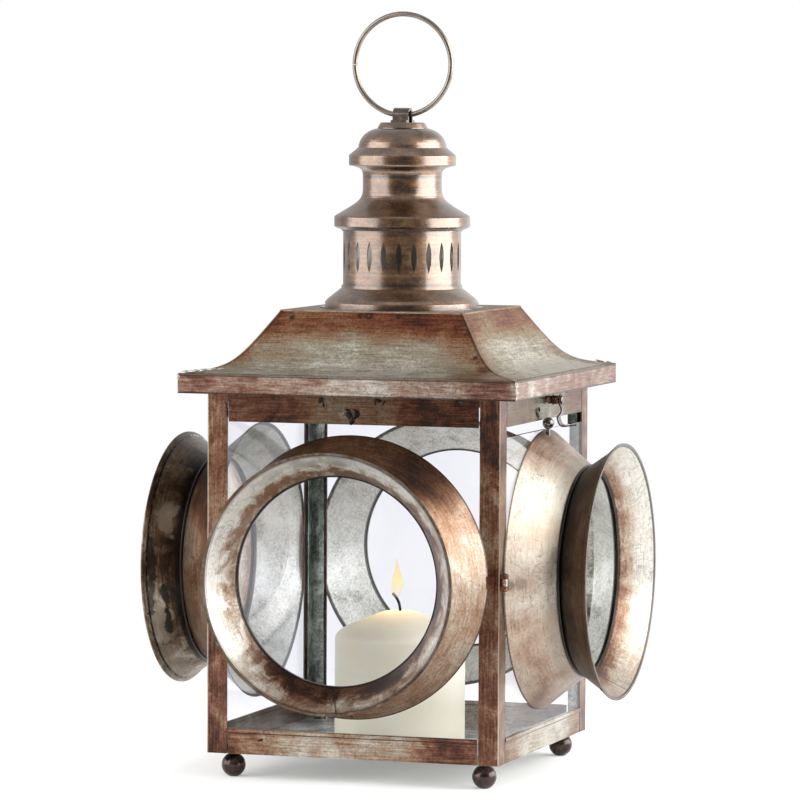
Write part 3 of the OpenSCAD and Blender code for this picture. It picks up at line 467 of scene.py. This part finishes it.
dress(["hood_tabs", "hinge_lugs"], patinaSheet("copperTabs", 0, dict(
    postLook, zinc=0.45, lines=[], colours={0: "#42200F", 0.3: "#74442F", 0.6: "#98694F", 1: "#D6BAA8"})))

insideLook = dict(galvanisedLook, zinc=0.42, brush=(0.5, 0.5, 0.04), graining=0.7)
dress(["floor_plate", "soffit_frame", "door_glass_collar"], patinaSheet("galvanisedSheet", 0, insideLook))
# The channels are a darker copy of the inside sheet: painted shade, where they stand in the lantern's shadow
dress(["glass_channels"], patinaSheet("galvanisedChannelsPaintedShade", 0, dict(
    insideLook, zinc=0.3, patching=0.3,
    colours={0: "#3E423C", 0.3: "#6E756D", 0.6: "#9DA49E", 1: "#D0D5D1"})))
print("hoods finished")


# Spun cap, ring, feet and latch

# Steel spun on a lathe and dipped in antique bronze: fine rings around the axis from the spinning roller, glossy
# lacquer, dark bands at the grooves and under the cornices (dip gathered in the grooves, and painted shade under the
# lips), and a few rubbed rust-orange spots. The eye sees rings of light around it.
# An inside colour, where the look has one, shows on the faces that point to the axis.
def spunBronze(name, look):
    material, add, coords = newMaterial(name)
    place = add("Mapping", {"Vector": coords["Object"], "Scale": [perMetre] * 3})
    parts = add("SeparateXYZ", {0: place}, None)
    flat = add("CombineXYZ", {0: parts[0], 1: parts[1]})
    radius = add("VectorMath LENGTH", {0: flat}, "Value")
    rings = add("CombineXYZ", {0: radius, 1: parts[2]})
    smeared = add("Mapping", {"Vector": place, "Scale": look["smear"]})
    spin, smear, speck, rust = [
        add("TexNoise", {"Vector": at, "Scale": 1 / size, "Detail": detail, "Roughness": rough})
        for at, size, detail, rough in ((rings, look["ringWidth"], 3, 0.5), (smeared, 1, 5, 0.62),
                                        (place, look["speck"], 3, 0.65), (place, look["rustSize"], 3, 0.6))]
    value = addSwings(add, look["base"], ((spin, look["ringing"]), (smear, look["smearing"]),
                                          (speck, look["specking"])))
    colour = add("ValToRGB", {0: value}, stops=look["colours"])
    if look["inside"]:
        bare = add("Math LESS_THAN", {0: placeAlong(add, coords["Normal"], flat), 1: 0.0})
        colour = add("Mix RGBA", {0: bare, 6: colour, 7: linear(look["inside"])}, 2)
    # Dark bands at set heights: dip gathered in the grooves, and painted shade under the cornices
    for at, width in look["hollows"]:
        away = add("Math ABSOLUTE", {0: add("Math SUBTRACT", {0: parts[2], 1: at})})
        colour = layOver(add, colour, away, width, width * look["hollowCore"], look["hollowDepth"],
                         look["hollowColour"])
    colour = layOver(add, colour, rust, *look["rustRange"], look["rust"], look["rustColour"])
    rough = add("MapRange", {0: smear, (1, 2): sheetWear["rough"], (3, 4): look["rough"]})
    height = 0.0
    for part, gain in ((spin, look["ringHeight"]), (smear, look["dents"])):
        height = add("Math MULTIPLY_ADD", {0: part, 1: gain, 2: height})
    metalSurface(add, colour, rough, height, look)
    return material


capLook = {
    "ringWidth": 1.1, "ringing": 0.5, "ringHeight": 0.008, "smear": (0.09, 0.09, 0.2), "smearing": 1.3, "dents": 0.12,
    "speck": 1.3, "specking": 0.6, "base": 0.48, "inside": "#8C847A",
    "colours": {0: "#241206", 0.3: "#502F12", 0.55: "#775029", 0.8: "#947653", 1: "#BBAE9A"},
    # heights of the hollows and their half widths: dark bands, partly dip in the grooves, partly painted shade under
    # the cornices
    "hollows": [(314.2, 2.4), (344.2, 1.6), (282.0, 1.2), (268.3, 1.0), (372.2, 0.8)], "hollowColour": "#22140D",
    "hollowDepth": 0.75, "hollowCore": 0.2, "rust": 0.5, "rustColour": "#8A4F28", "rustSize": 7,
    "rustRange": (0.62, 0.74), "metallic": 1.0, "rough": (0.34, 0.48), "glancing": "#FFFFFF", "coat": 1.0,
    "coatRough": 0.23, "coatIor": 2.15,
}
dress(["vent_skirt", "vent_drum", "cap_neck", "cap_dome", "cap_collar"], spunBronze("spunBronzeCap", capLook))
# Cast and turned pieces dipped dark: almost black in the hollows, warm grey on the rubbed places
darkLook = dict(
    capLook, inside=None, ringWidth=2.5, base=0.4, smear=(0.2, 0.2, 0.2), ringHeight=0.004, dents=0.05, hollows=[],
    rust=0.2, rough=(0.22, 0.34), coatIor=1.7,
    colours={0: "#180E09", 0.4: "#35241D", 0.7: "#4F3E36", 1: "#7D6B5E"})
dress(["ball_feet"], spunBronze("darkBronzeFeet", dict(
    darkLook, coatIor=1.5, colours={0: "#1A0D07", 0.4: "#38221A", 0.7: "#523A2F", 1: "#7D6657"})))
dress(["ring_strap", "hinge_pin"], spunBronze("darkBronzeStrap", dict(
    darkLook, colours={0: "#2C1F18", 0.5: "#5E4C42", 1: "#9A8B80"})))
rubbedRing = spunBronze("rubbedBronzeRing", dict(
    darkLook, specking=0.12, ringing=0.0, smearing=0.5, base=0.5, dents=0.0, ringHeight=0.0, coatIor=1.9,
    colours={0: "#4A392C", 0.5: "#7D6B5A", 1: "#AB9E91"}, rough=(0.34, 0.44)))
# Steel polished by fingers: grey with brown left in the scratches
steelLook = dict(darkLook, smear=(0.3, 0.3, 0.3), colours={0: "#3C2E26", 0.45: "#776860", 1: "#B9B2AB"},
                 rough=(0.2, 0.34), coat=0.3)
dress(["foot_nuts", "latch_stud", "latch_strip"], spunBronze("handPolishedSteel", steelLook))
# The knuckle is a paler copy of the polished steel: a painted highlight where its barrel catches the light
dress(["door_knuckle"], spunBronze("steelKnucklePaintedHighlight", dict(
    steelLook, base=0.6, colours={0: "#6A5A4E", 0.5: "#B3A69A", 1: "#DDD6CE"})))
dress(["keeper_ball"], spunBronze("polishedDarkBall", dict(darkLook, rough=(0.1, 0.2), specking=0.3, coatIor=2.1)))
# Copper plate left red where nothing rubs it: the eye sees an orange glint on the knob and the coils
rubbedCopper = spunBronze("rubbedCopper", dict(
    darkLook, base=0.5, rough=(0.2, 0.34), coatIor=1.5,
    colours={0: "#28140C", 0.5: "#613B29", 1: "#C69C82"}))
dress(["latch_knob"], rubbedCopper)
print("cap and small parts finished")


# Glass, candle and flame

# Clear float glass, drawn flat and polished by fire: no colour face on, a thin dark line along its edges. Its index is
# lower than real glass has, so that the panes hardly mirror the room. Lamps and room light shine straight through it,
# so that what it shuts in is lit. haze is the size of its faint cloudiness in mm.
glassLook = {"index": 1.2, "haze": 28, "hazeRange": (0.5, 0.75), "hazeRough": 0.03, "through": "#FAFBFC",
             "tints": {0.35: "#FBFBFE", 0.7: "#F7F8FB"}}


def floatGlass(look):
    material, add, coords = newMaterial("floatGlass")
    haze = add("TexNoise", {"Vector": coords["Object"], "Scale": perMetre / look["haze"], "Detail": 3})
    rough = add("MapRange", {0: haze, (1, 2): look["hazeRange"], 4: look["hazeRough"]})
    tint = add("ValToRGB", {0: haze}, stops=look["tints"])
    glass = add("BsdfPrincipled", {"Base Color": tint, "Roughness": rough, "IOR": look["index"],
                                   "Transmission Weight": 1.0})
    clear = add("BsdfTransparent", {"Color": linear(look["through"])})
    light = add("LightPath", take=None)
    mixed = add("MixShader", {0: light["Is Diffuse Ray"], 1: glass, 2: clear})
    mixed = add("MixShader", {0: light["Is Shadow Ray"], 1: mixed, 2: clear})
    add("OutputMaterial", {"Surface": mixed})
    return material


dress(["glass_front", "glass_back", "glass_left", "door_glass"], floatGlass(glassLook))

# Moulded paraffin wax, ivory, with light scattered under its skin, a faint mottle and a frosted bloom. Sizes in mm.
waxLook = {"mottle": 22, "colours": {0.3: "#FBF0D8", 0.7: "#FFF7E6"}, "rough": (0.38, 0.55), "index": 1.44,
           "bloom": 1.6, "bloomHeight": 0.2, "bloomStrength": 0.5, "scatter": 0.35, "depth": 6,
           "depths": (1.0, 0.6, 0.35)}


def ivoryWax(look):
    material, add, coords = newMaterial("ivoryWax")
    mottle, fine = [add("TexNoise", {"Vector": coords["Object"], "Scale": perMetre / size, "Detail": detail})
                    for size, detail in ((look["mottle"], 4), (look["bloom"], 3))]
    colour = add("ValToRGB", {0: mottle}, stops=look["colours"])
    rough = add("MapRange", {0: mottle, (3, 4): look["rough"]})
    bump = add("Bump", {"Strength": look["bloomStrength"], "Distance": look["bloomHeight"] / perMetre, "Height": fine})
    wax = add("BsdfPrincipled", {"Base Color": colour, "Roughness": rough, "IOR": look["index"], "Normal": bump,
                                 "Subsurface Weight": look["scatter"], "Subsurface Radius": look["depths"],
                                 "Subsurface Scale": look["depth"] / perMetre})
    add("OutputMaterial", {"Surface": wax})
    return material


dress(["candle"], ivoryWax(waxLook))

# Braided cotton, burnt: black crust with grey ash along its ridges. Its strands are too fine to show, so the ridges
# are drawn coarser, several strands to each. Strand and height in mm.
wickLook = {"strand": 0.8, "coarser": 6.3, "twist": 4.0, "height": 0.25, "rough": 0.9,
            "colours": {0.2: "#0A0807", 0.8: "#2A2420"}}


def charredCotton(look):
    material, add, coords = newMaterial("charredCotton")
    braid = add("TexWave", {"Vector": coords["Object"], "Scale": perMetre / look["strand"] / look["coarser"],
                            "Distortion": look["twist"], "Detail": 3}, bands_direction="DIAGONAL")
    colour = add("ValToRGB", {0: braid}, stops=look["colours"])
    bump = add("Bump", {"Strength": 1.0, "Distance": look["height"] / perMetre, "Height": braid})
    shader = add("BsdfPrincipled", {"Base Color": colour, "Roughness": look["rough"], "Normal": bump})
    add("OutputMaterial", {"Surface": shader})
    return material


dress(["wick"], charredCotton(wickLook))

# Flame: foot, height and half width in mm, and how far its middle leans. Then its glow, how it thins to its rim (blend
# and rim), and its colour and how solid it is from foot to tip.
flameShape = {"foot": (-2.6, 0.0, 98.0), "height": 24.5, "wide": 4.3, "lean": 0.9, "rings": 40, "around": 28,
              "fullness": 0.6, "taper": 0.35, "glow": 1.05, "blend": 0.35, "rim": (0.95, 0.15),
              "colours": {0: "#C9BFC0", 0.14: "#FFE9B0", 0.4: "#FFF2B4", 0.75: "#FFE3AE", 1: "#FFCFA4"},
              "solid": {0: "#404040", 0.2: "#A0A0A0", 0.5: "#F0F0F0", 1: "#B0B0B0"}}


# A drop turned about its own leaning line: its radius at height t is wide * sin(pi t^fullness) * (1 - t)^taper
def candleFlame(shape):
    t = np.linspace(0, 1, shape["rings"])[1:-1, None]
    angle = np.linspace(0, 2 * np.pi, shape["around"], endpoint=False)[None, :]
    radius = shape["wide"] * np.sin(np.pi * t ** shape["fullness"]) * (1 - t) ** shape["taper"]
    footX, footY, footZ = shape["foot"]
    x = footX + shape["lean"] * np.sin(np.pi * t) + radius * np.cos(angle)
    y = footY + radius * np.sin(angle)
    z = footZ + shape["height"] * t + 0 * angle
    ends = [[footX, footY, footZ], [footX, footY, footZ + shape["height"]]]
    points = np.concatenate([np.stack([x, y, z], -1).reshape(-1, 3), ends])
    return points, ringFaces(shape["rings"] - 2, shape["around"])


# Burning wax vapour: thin and see-through at its rim, pale yellow in its body, blue grey just over the wick
def flameGlow(shape):
    material, add, coords = newMaterial("candleFlameGlow")
    height = add("SeparateXYZ", {0: coords["Object"]}, 2)
    foot = shape["foot"][2] / perMetre
    rise = add("MapRange", {0: height, 1: foot, 2: foot + shape["height"] / perMetre})
    colour = add("ValToRGB", {0: rise}, stops=shape["colours"])
    edge = add("LayerWeight", {"Blend": shape["blend"]}, "Facing")
    body = add("MapRange SMOOTHSTEP", {0: edge, (1, 2): shape["rim"]})
    solid = add("ValToRGB", {0: rise}, stops=shape["solid"])
    alpha = add("Math MULTIPLY", {0: body, 1: solid})
    glow = add("Emission", {"Color": colour, "Strength": shape["glow"]})
    add("OutputMaterial", {"Surface": add("MixShader", {0: alpha, 1: add("BsdfTransparent"), 2: glow})})
    return material


newPiece("candle_flame", *candleFlame(flameShape), flameGlow(flameShape), "lantern")
print("glass, candle and flame finished")


# Solder and spring

# A drop's rings and the points around each, the waves of its outline (how many go round it, and how high each is),
# the first drop's seed and the most that a wave is turned, in radians
dropShape = {"rings": 12, "around": 26, "waves": [(2, 0.13), (3, 0.1), (5, 0.06)], "firstDraw": 7,
             "phase": 6.28}


# Drops of solder: each is a closed egg, squashed against its sheet, whose outline w wavers with three slow waves:
# point = centre + side * wide * w * sin(a) cos(b) + up * tall * w * sin(a) sin(b) - out * thick * cos(a)
def solderDrops(side, drops):
    rings, around = dropShape["rings"], dropShape["around"]
    a = np.linspace(0, np.pi, rings + 2)[1:-1, None]
    b = np.linspace(0, 2 * np.pi, around, endpoint=False)[None, :]
    points, faces = [], []
    for number, (*place, wide, tall, thick, tilt) in enumerate(drops):
        shift = np.random.default_rng(number + dropShape["firstDraw"]).uniform(0, dropShape["phase"], 3)
        w = 1
        for (count, high), phase in zip(dropShape["waves"], shift):
            w = w + high * np.sin(count * b + phase)
        u = wide * w * np.sin(a) * np.cos(b)
        v = tall * w * np.sin(a) * np.sin(b)
        out = -thick * np.cos(a) + 0 * b
        c, s = cosSin(tilt)
        egg = np.stack([place[0] + out, place[1] + c * u - s * v, place[2] + s * u + c * v], -1).reshape(-1, 3)
        # Rings run from in to out, so the inner end comes first
        ends = [[place[0] + way * thick, place[1], place[2]] for way in (-1, 1)]
        points.append(np.concatenate([egg, ends]))
        faces += ringFaces(rings, around, number * (rings * around + 2))
    points = np.concatenate(points)
    c, s = cosSin(sides[side])
    return points @ np.array([[c, s, 0], [-s, c, 0], [0, 0, 1]]), faces


# Tin and lead solder, run on with an iron and darkened with the sheet: dull grey brown with bright rubbed tops
solderLook = dict(darkLook, smear=(0.6, 0.6, 0.6), colours={0: "#160E0A", 0.45: "#33261F", 1: "#85786C"},
                  rough=(0.38, 0.55), dents=0.3, coat=0.3, coatIor=1.5)
darkSolder = spunBronze("darkSolder", solderLook)
brightSolder = spunBronze("brightSolder", dict(
    solderLook, base=0.7, colours={0: "#6A5F55", 0.5: "#ADA79E", 1: "#DAD7D0"}))
# The door hood's rim, with half its beads' thickness. Each bead of solder on it: its angle up from the far side in
# degrees, half width and half height.
rim = {"out": 132.9, "radius": 73.5, "thick": 0.7, "beads": [
    (29.0, 0.9, 1.9), (24.0, 0.6, 1.0), (5.0, 0.8, 2.4), (-20.0, 0.7, 1.2), (-34.0, 0.9, 2.2), (-39.0, 0.7, 1.3),
    (-120.0, 0.8, 1.6), (150.0, 0.7, 1.4)]}
rimDrops = []
for angle, wide, tall in rim["beads"]:
    c, s = cosSin(angle)
    rimDrops.append((rim["out"], rim["radius"] * c, hoodHeight + rim["radius"] * s, wide, tall, rim["thick"], angle))
newPiece("solder_rim", *solderDrops("right", rimDrops), darkSolder, "door", "dark_bronze")

# Drops on each side's rails: place out, along and up, half width, half height, half thickness and tilt in degrees
solderSpots = {
    "front": [
        (87.5, -2.6, 211.0, 2.3, 3.2, 0.8, 20), (87.5, 1.7, 211.2, 2.3, 3.0, 0.8, -25),
        (87.5, -0.5, 207.6, 2.0, 2.4, 0.7, 0), (87.5, -19.5, 218.2, 1.8, 1.1, 0.6, 30),
        (87.5, -17.6, 216.0, 0.6, 1.8, 0.5, 12), (87.5, 15.2, 219.4, 2.1, 0.9, 0.6, -20),
        (87.5, 18.4, 217.8, 0.6, 1.7, 0.5, -30), (87.5, 13.4, 217.6, 0.5, 1.5, 0.45, 10),
        (87.5, 63.4, 219.8, 2.8, 1.0, 0.6, 5), (87.5, -75.8, 211.6, 0.6, 4.2, 0.5, 4),
        (87.5, 75.8, 209.0, 0.5, 2.6, 0.5, -6), (87.6, -55.0, 23.0, 1.6, 0.7, 0.5, 20)],
    "back": [
        (87.5, 22.0, 219.2, 2.2, 1.0, 0.6, 8), (87.5, 23.6, 217.0, 0.6, 1.7, 0.5, 14),
        (87.5, -40.0, 219.0, 1.8, 1.0, 0.6, -12), (87.5, 75.8, 212.0, 0.6, 3.8, 0.5, 4)],
    "left": [
        (87.5, 5.0, 219.2, 2.1, 1.0, 0.6, -8), (87.5, 50.8, 219.0, 1.7, 0.9, 0.55, 20),
        (87.5, -75.8, 210.0, 0.6, 3.2, 0.5, 3)],
    "right": [
        (87.5, -16.8, 209.8, 1.6, 2.6, 0.9, 25), (87.5, -14.2, 208.2, 1.2, 1.6, 0.8, -30),
        (87.5, -12.6, 211.6, 0.8, 1.7, 0.8, 40), (87.5, 44.0, 219.2, 1.9, 0.9, 0.6, -8)],
}
for side, drops in solderSpots.items():
    newPiece("solder_" + side, *solderDrops(side, drops), darkSolder, "lantern", "dark_bronze")

# Chalky solder run into the eave's corners and down two of the hips, and a smear left on the floor plate
cornerSpots = {
    "solder_eave_left": ("front", [
        (99.6, -97.0, 233.3, 2.6, 1.1, 1.0, 14), (99.2, -92.0, 234.0, 3.0, 1.0, 0.9, 12),
        (98.6, -86.5, 234.6, 3.2, 0.85, 0.9, 10), (97.9, -81.5, 235.2, 2.6, 0.75, 0.8, 8),
        (97.0, -76.5, 235.6, 2.0, 0.5, 0.7, 8), (100.8, -100.6, 230.6, 0.8, 1.8, 0.6, 0)]),
    "solder_eave_front": ("front", [
        (100.7, 100.7, 230.4, 0.7, 1.9, 0.6, 0), (100.7, 100.8, 226.4, 0.5, 2.6, 0.5, 4),
        (100.7, 100.8, 222.8, 0.45, 1.2, 0.45, 0), (99.0, 99.0, 232.5, 1.3, 0.8, 1.0, 0)]),
    "solder_eave_back": ("back", [
        (99.6, -97.0, 233.0, 2.2, 0.7, 0.8, 14), (99.0, -91.5, 233.9, 2.6, 0.6, 0.7, 12),
        (100.7, 100.7, 229.8, 0.6, 2.2, 0.5, 0)]),
    "solder_floor": ("back", [
        (69.8, 73.8, 15.3, 5.0, 0.35, 2.4, 0), (66.0, 70.0, 15.3, 1.6, 0.3, 1.3, 0),
        (72.0, 67.0, 15.3, 1.0, 0.3, 0.8, 0)]),
}
for name, (side, drops) in cornerSpots.items():
    newPiece(name, *solderDrops(side, drops), brightSolder, "lantern", "galvanised_sheet")

# Spring around the stud: the stud's place along and up, where the coils start and end going out, and their radii
springShape = {"at": (3.5, 216.295), "from": 88.05, "to": 90.75, "coil": 2.05, "wire": 0.48, "turns": 3.4,
               "steps": 150, "around": 12}


# Open coil of spring wire: a round wire carried along a helix about the stud's line. Centre at turn t = (start +
# length t, coil cos, coil sin); the wire's circle stands square to the helix; each end is closed.
def springCoil(shape):
    t = np.linspace(0, 1, shape["steps"])
    phase = 2 * np.pi * shape["turns"] * t
    length = shape["to"] - shape["from"]
    run = length / (2 * np.pi * shape["turns"])
    c, s = np.cos(phase), np.sin(phase)
    centre = np.stack([shape["from"] + length * t, shape["at"][0] + shape["coil"] * c,
                       shape["at"][1] + shape["coil"] * s], -1)
    spoke = np.stack([0 * t, c, s], -1)
    along = np.stack([run + 0 * t, -shape["coil"] * s, shape["coil"] * c], -1)
    along /= np.linalg.norm(along, axis=1, keepdims=True)
    across = np.cross(along, spoke)
    b = np.linspace(0, 2 * np.pi, shape["around"], endpoint=False)[None, :, None]
    tube = centre[:, None] + shape["wire"] * (np.cos(b) * spoke[:, None] + np.sin(b) * across[:, None])
    return np.concatenate([tube.reshape(-1, 3), [centre[0], centre[-1]]]), ringFaces(shape["steps"], shape["around"])


# Hanging ring: height of its centre, radius to the middle of its wire, the wire's radius and the gap of its joint
ringShape = {"centre": 409.0, "ring": 29.3, "wire": 1.49, "joint": 0.3, "steps": 360, "around": 36}


# A circle of the wire's radius carried around the ring from one side of its open joint to the other, point = centre +
# (ring + wire cos b) (cos a, sin a) in the ring's plane + wire sin b across it; both ends are closed
def ringWire(shape):
    half = shape["joint"] / 2 / shape["ring"]
    a = np.linspace(-np.pi + half, np.pi - half, shape["steps"])[:, None]
    b = np.linspace(0, 2 * np.pi, shape["around"], endpoint=False)[None, :]
    out = shape["ring"] + shape["wire"] * np.cos(b)
    tube = np.stack([out * np.cos(a), shape["wire"] * np.sin(b) + 0 * a, shape["centre"] + out * np.sin(a)], -1)
    ends = [[shape["ring"] * math.cos(k), 0, shape["centre"] + shape["ring"] * math.sin(k)] for k in a[[0, -1], 0]]
    return np.concatenate([tube.reshape(-1, 3), ends]), ringFaces(shape["steps"], shape["around"])


wire = newPiece("ring_wire", *ringWire(ringShape), rubbedRing, "ring", "dark_bronze")
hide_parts("hanging_ring")
spring = newPiece("spring_coil", *springCoil(springShape), rubbedCopper, "lantern", "dark_bronze")
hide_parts("latch_spring")
print("solder and spring finished")


# Studio: floor, lights and camera, in metres

# White paper sweep: half its width, and the distances between which it goes from showing its shadow to plain white.
# lift is the glow that keeps its shadow soft to the camera.
floorLook = {"half": 0.9, "whitens": (0.16, 0.5), "paper": "#F2F2F2", "lift": 0.25}


def paperFloor(look):
    material, add, coords = newMaterial("paperFloor")
    away = add("VectorMath LENGTH", {0: coords["Object"]}, "Value")
    far = add("MapRange SMOOTHSTEP", {0: away, (1, 2): look["whitens"]})
    light = add("LightPath", take=None)
    seen = add("Math MAXIMUM", {0: light["Is Camera Ray"], 1: light["Is Transmission Ray"]})
    paper = add("BsdfDiffuse", {"Color": linear(look["paper"])})
    lift = add("Emission", {"Color": linear("#FFFFFF"), "Strength": look["lift"]})
    near = add("AddShader", {0: paper, 1: lift})
    white = add("Emission", {"Color": linear("#FFFFFF"), "Strength": 1.0})
    shown = add("MixShader", {0: far, 1: near, 2: white})
    add("OutputMaterial", {"Surface": add("MixShader", {0: seen, 1: paper, 2: shown})})
    return material


floorMesh = bpy.data.meshes.new("floor")
corners = [(x * floorLook["half"], y * floorLook["half"], 0) for x, y in ((-1, -1), (1, -1), (1, 1), (-1, 1))]
floorMesh.from_pydata(corners, [], [(0, 1, 2, 3)])
floorMesh.materials.append(paperFloor(floorLook))
addObject("floor", floorMesh)

# Room light: plain white where it is seen straight or through glass, and a plain level on dull surfaces. Reflections
# see it brighter behind and beside the lantern, and dimmer where the dark front of the room is. Each span is the range
# of the direction's x, y or z over which one level turns into the next.
roomLight = {"plain": 0.9, "behindLeft": 0.55, "behindRight": 1.3, "front": 0.12, "above": 0.6,
             "sideSpan": (-0.5, 0.3), "frontSpan": (-0.75, 0.35), "aboveSpan": (0.15, 0.8)}
world = bpy.data.worlds.new("studioRoom")
bpy.context.scene.world = world
world.use_nodes = True
world.node_tree.nodes.clear()
add = partial(addNode, world.node_tree)
way = add("SeparateXYZ", {0: add("TexCoord", take="Generated")}, None)
behind = add("MapRange SMOOTHSTEP", {0: way[0], (1, 2): roomLight["sideSpan"], 3: roomLight["behindLeft"],
                                     4: roomLight["behindRight"]})
depth = add("MapRange SMOOTHSTEP", {0: way[1], (1, 2): roomLight["frontSpan"], 3: roomLight["front"], 4: behind})
over = add("MapRange SMOOTHSTEP", {0: way[2], (1, 2): roomLight["aboveSpan"]})
level = add("Mix", {0: over, 2: depth, 3: roomLight["above"]})
path = add("LightPath", take=None)
direct = add("Math MAXIMUM", {0: path["Is Camera Ray"], 1: path["Is Transmission Ray"]})
level = add("Mix", {0: path["Is Diffuse Ray"], 2: level, 3: roomLight["plain"]})
strength = add("Mix", {0: direct, 2: level, 3: 1.0})
backing = add("Background", {"Color": linear("#FFFFFF"), "Strength": strength})
add("OutputWorld", {"Surface": backing})


def placeLamp(name, kind, at):
    lamp = bpy.data.lights.new(name, kind)
    holder = addObject(name, lamp)
    holder.location = at
    return lamp, holder


# Soft boxes: place, the point they face, width and height, and watts
softBoxes = {
    "softBoxRight": {"at": (1.15, 0.15, 0.62), "towards": (0, 0, 0.25), "size": (1.6, 1.1), "watts": 24},
    "softBoxLeft": {"at": (-1.3, -0.95, 0.7), "towards": (0, 0, 0.3), "size": (2.0, 1.4), "watts": 24},
}
for name, box in softBoxes.items():
    lamp, holder = placeLamp(name, "AREA", box["at"])
    lamp.shape = "RECTANGLE"
    lamp.size, lamp.size_y = box["size"]
    lamp.energy = box["watts"]
    aim = np.array(box["at"]) - np.array(box["towards"])
    holder.rotation_euler = (math.atan2(math.hypot(aim[0], aim[1]), aim[2]), 0, math.atan2(aim[0], -aim[1]))

# The flame's own faint warm light on the wax and the tin around it
flameLight = {"at": (-0.0022, 0, 0.108), "watts": 0.034, "colour": "#FFD9A0", "radius": 0.004}
lamp, holder = placeLamp("flameLight", "POINT", flameLight["at"])
lamp.energy, lamp.color = flameLight["watts"], linear(flameLight["colour"])[:3]
lamp.shadow_soft_size = flameLight["radius"]
holder.visible_camera = holder.visible_glossy = holder.visible_transmission = False

# Camera: place in mm, angles in degrees, the focal length in pixels of a frame this many pixels wide, the sensor's
# width in mm, and the nearest and furthest distance it sees in metres
cameraSetup = {"at": (926.58, -2800.28, 397.02), "azimuth": 18.324, "elevation": 3.5486, "roll": 0.266,
               "focalPixels": 5074.64, "framePixels": 800, "sensor": 36, "clip": (0.05, 50)}
camera = bpy.data.cameras.new("camera")
camera.sensor_width = cameraSetup["sensor"]
camera.lens = cameraSetup["focalPixels"] * cameraSetup["sensor"] / cameraSetup["framePixels"]
camera.clip_start, camera.clip_end = cameraSetup["clip"]
eye = addObject("camera", camera)
eye.location = [v / perMetre for v in cameraSetup["at"]]
eye.rotation_mode = "XYZ"
eye.rotation_euler = (math.radians(90 - cameraSetup["elevation"]), 0, math.radians(cameraSetup["azimuth"]))
turnAbout = math.radians(cameraSetup["roll"])
eye.rotation_euler = (eye.rotation_euler.to_matrix() @ Matrix.Rotation(turnAbout, 3, "Z")).to_euler()
bpy.context.scene.camera = eye
bpy.context.scene.view_settings.view_transform = "Standard"
print("studio ready")
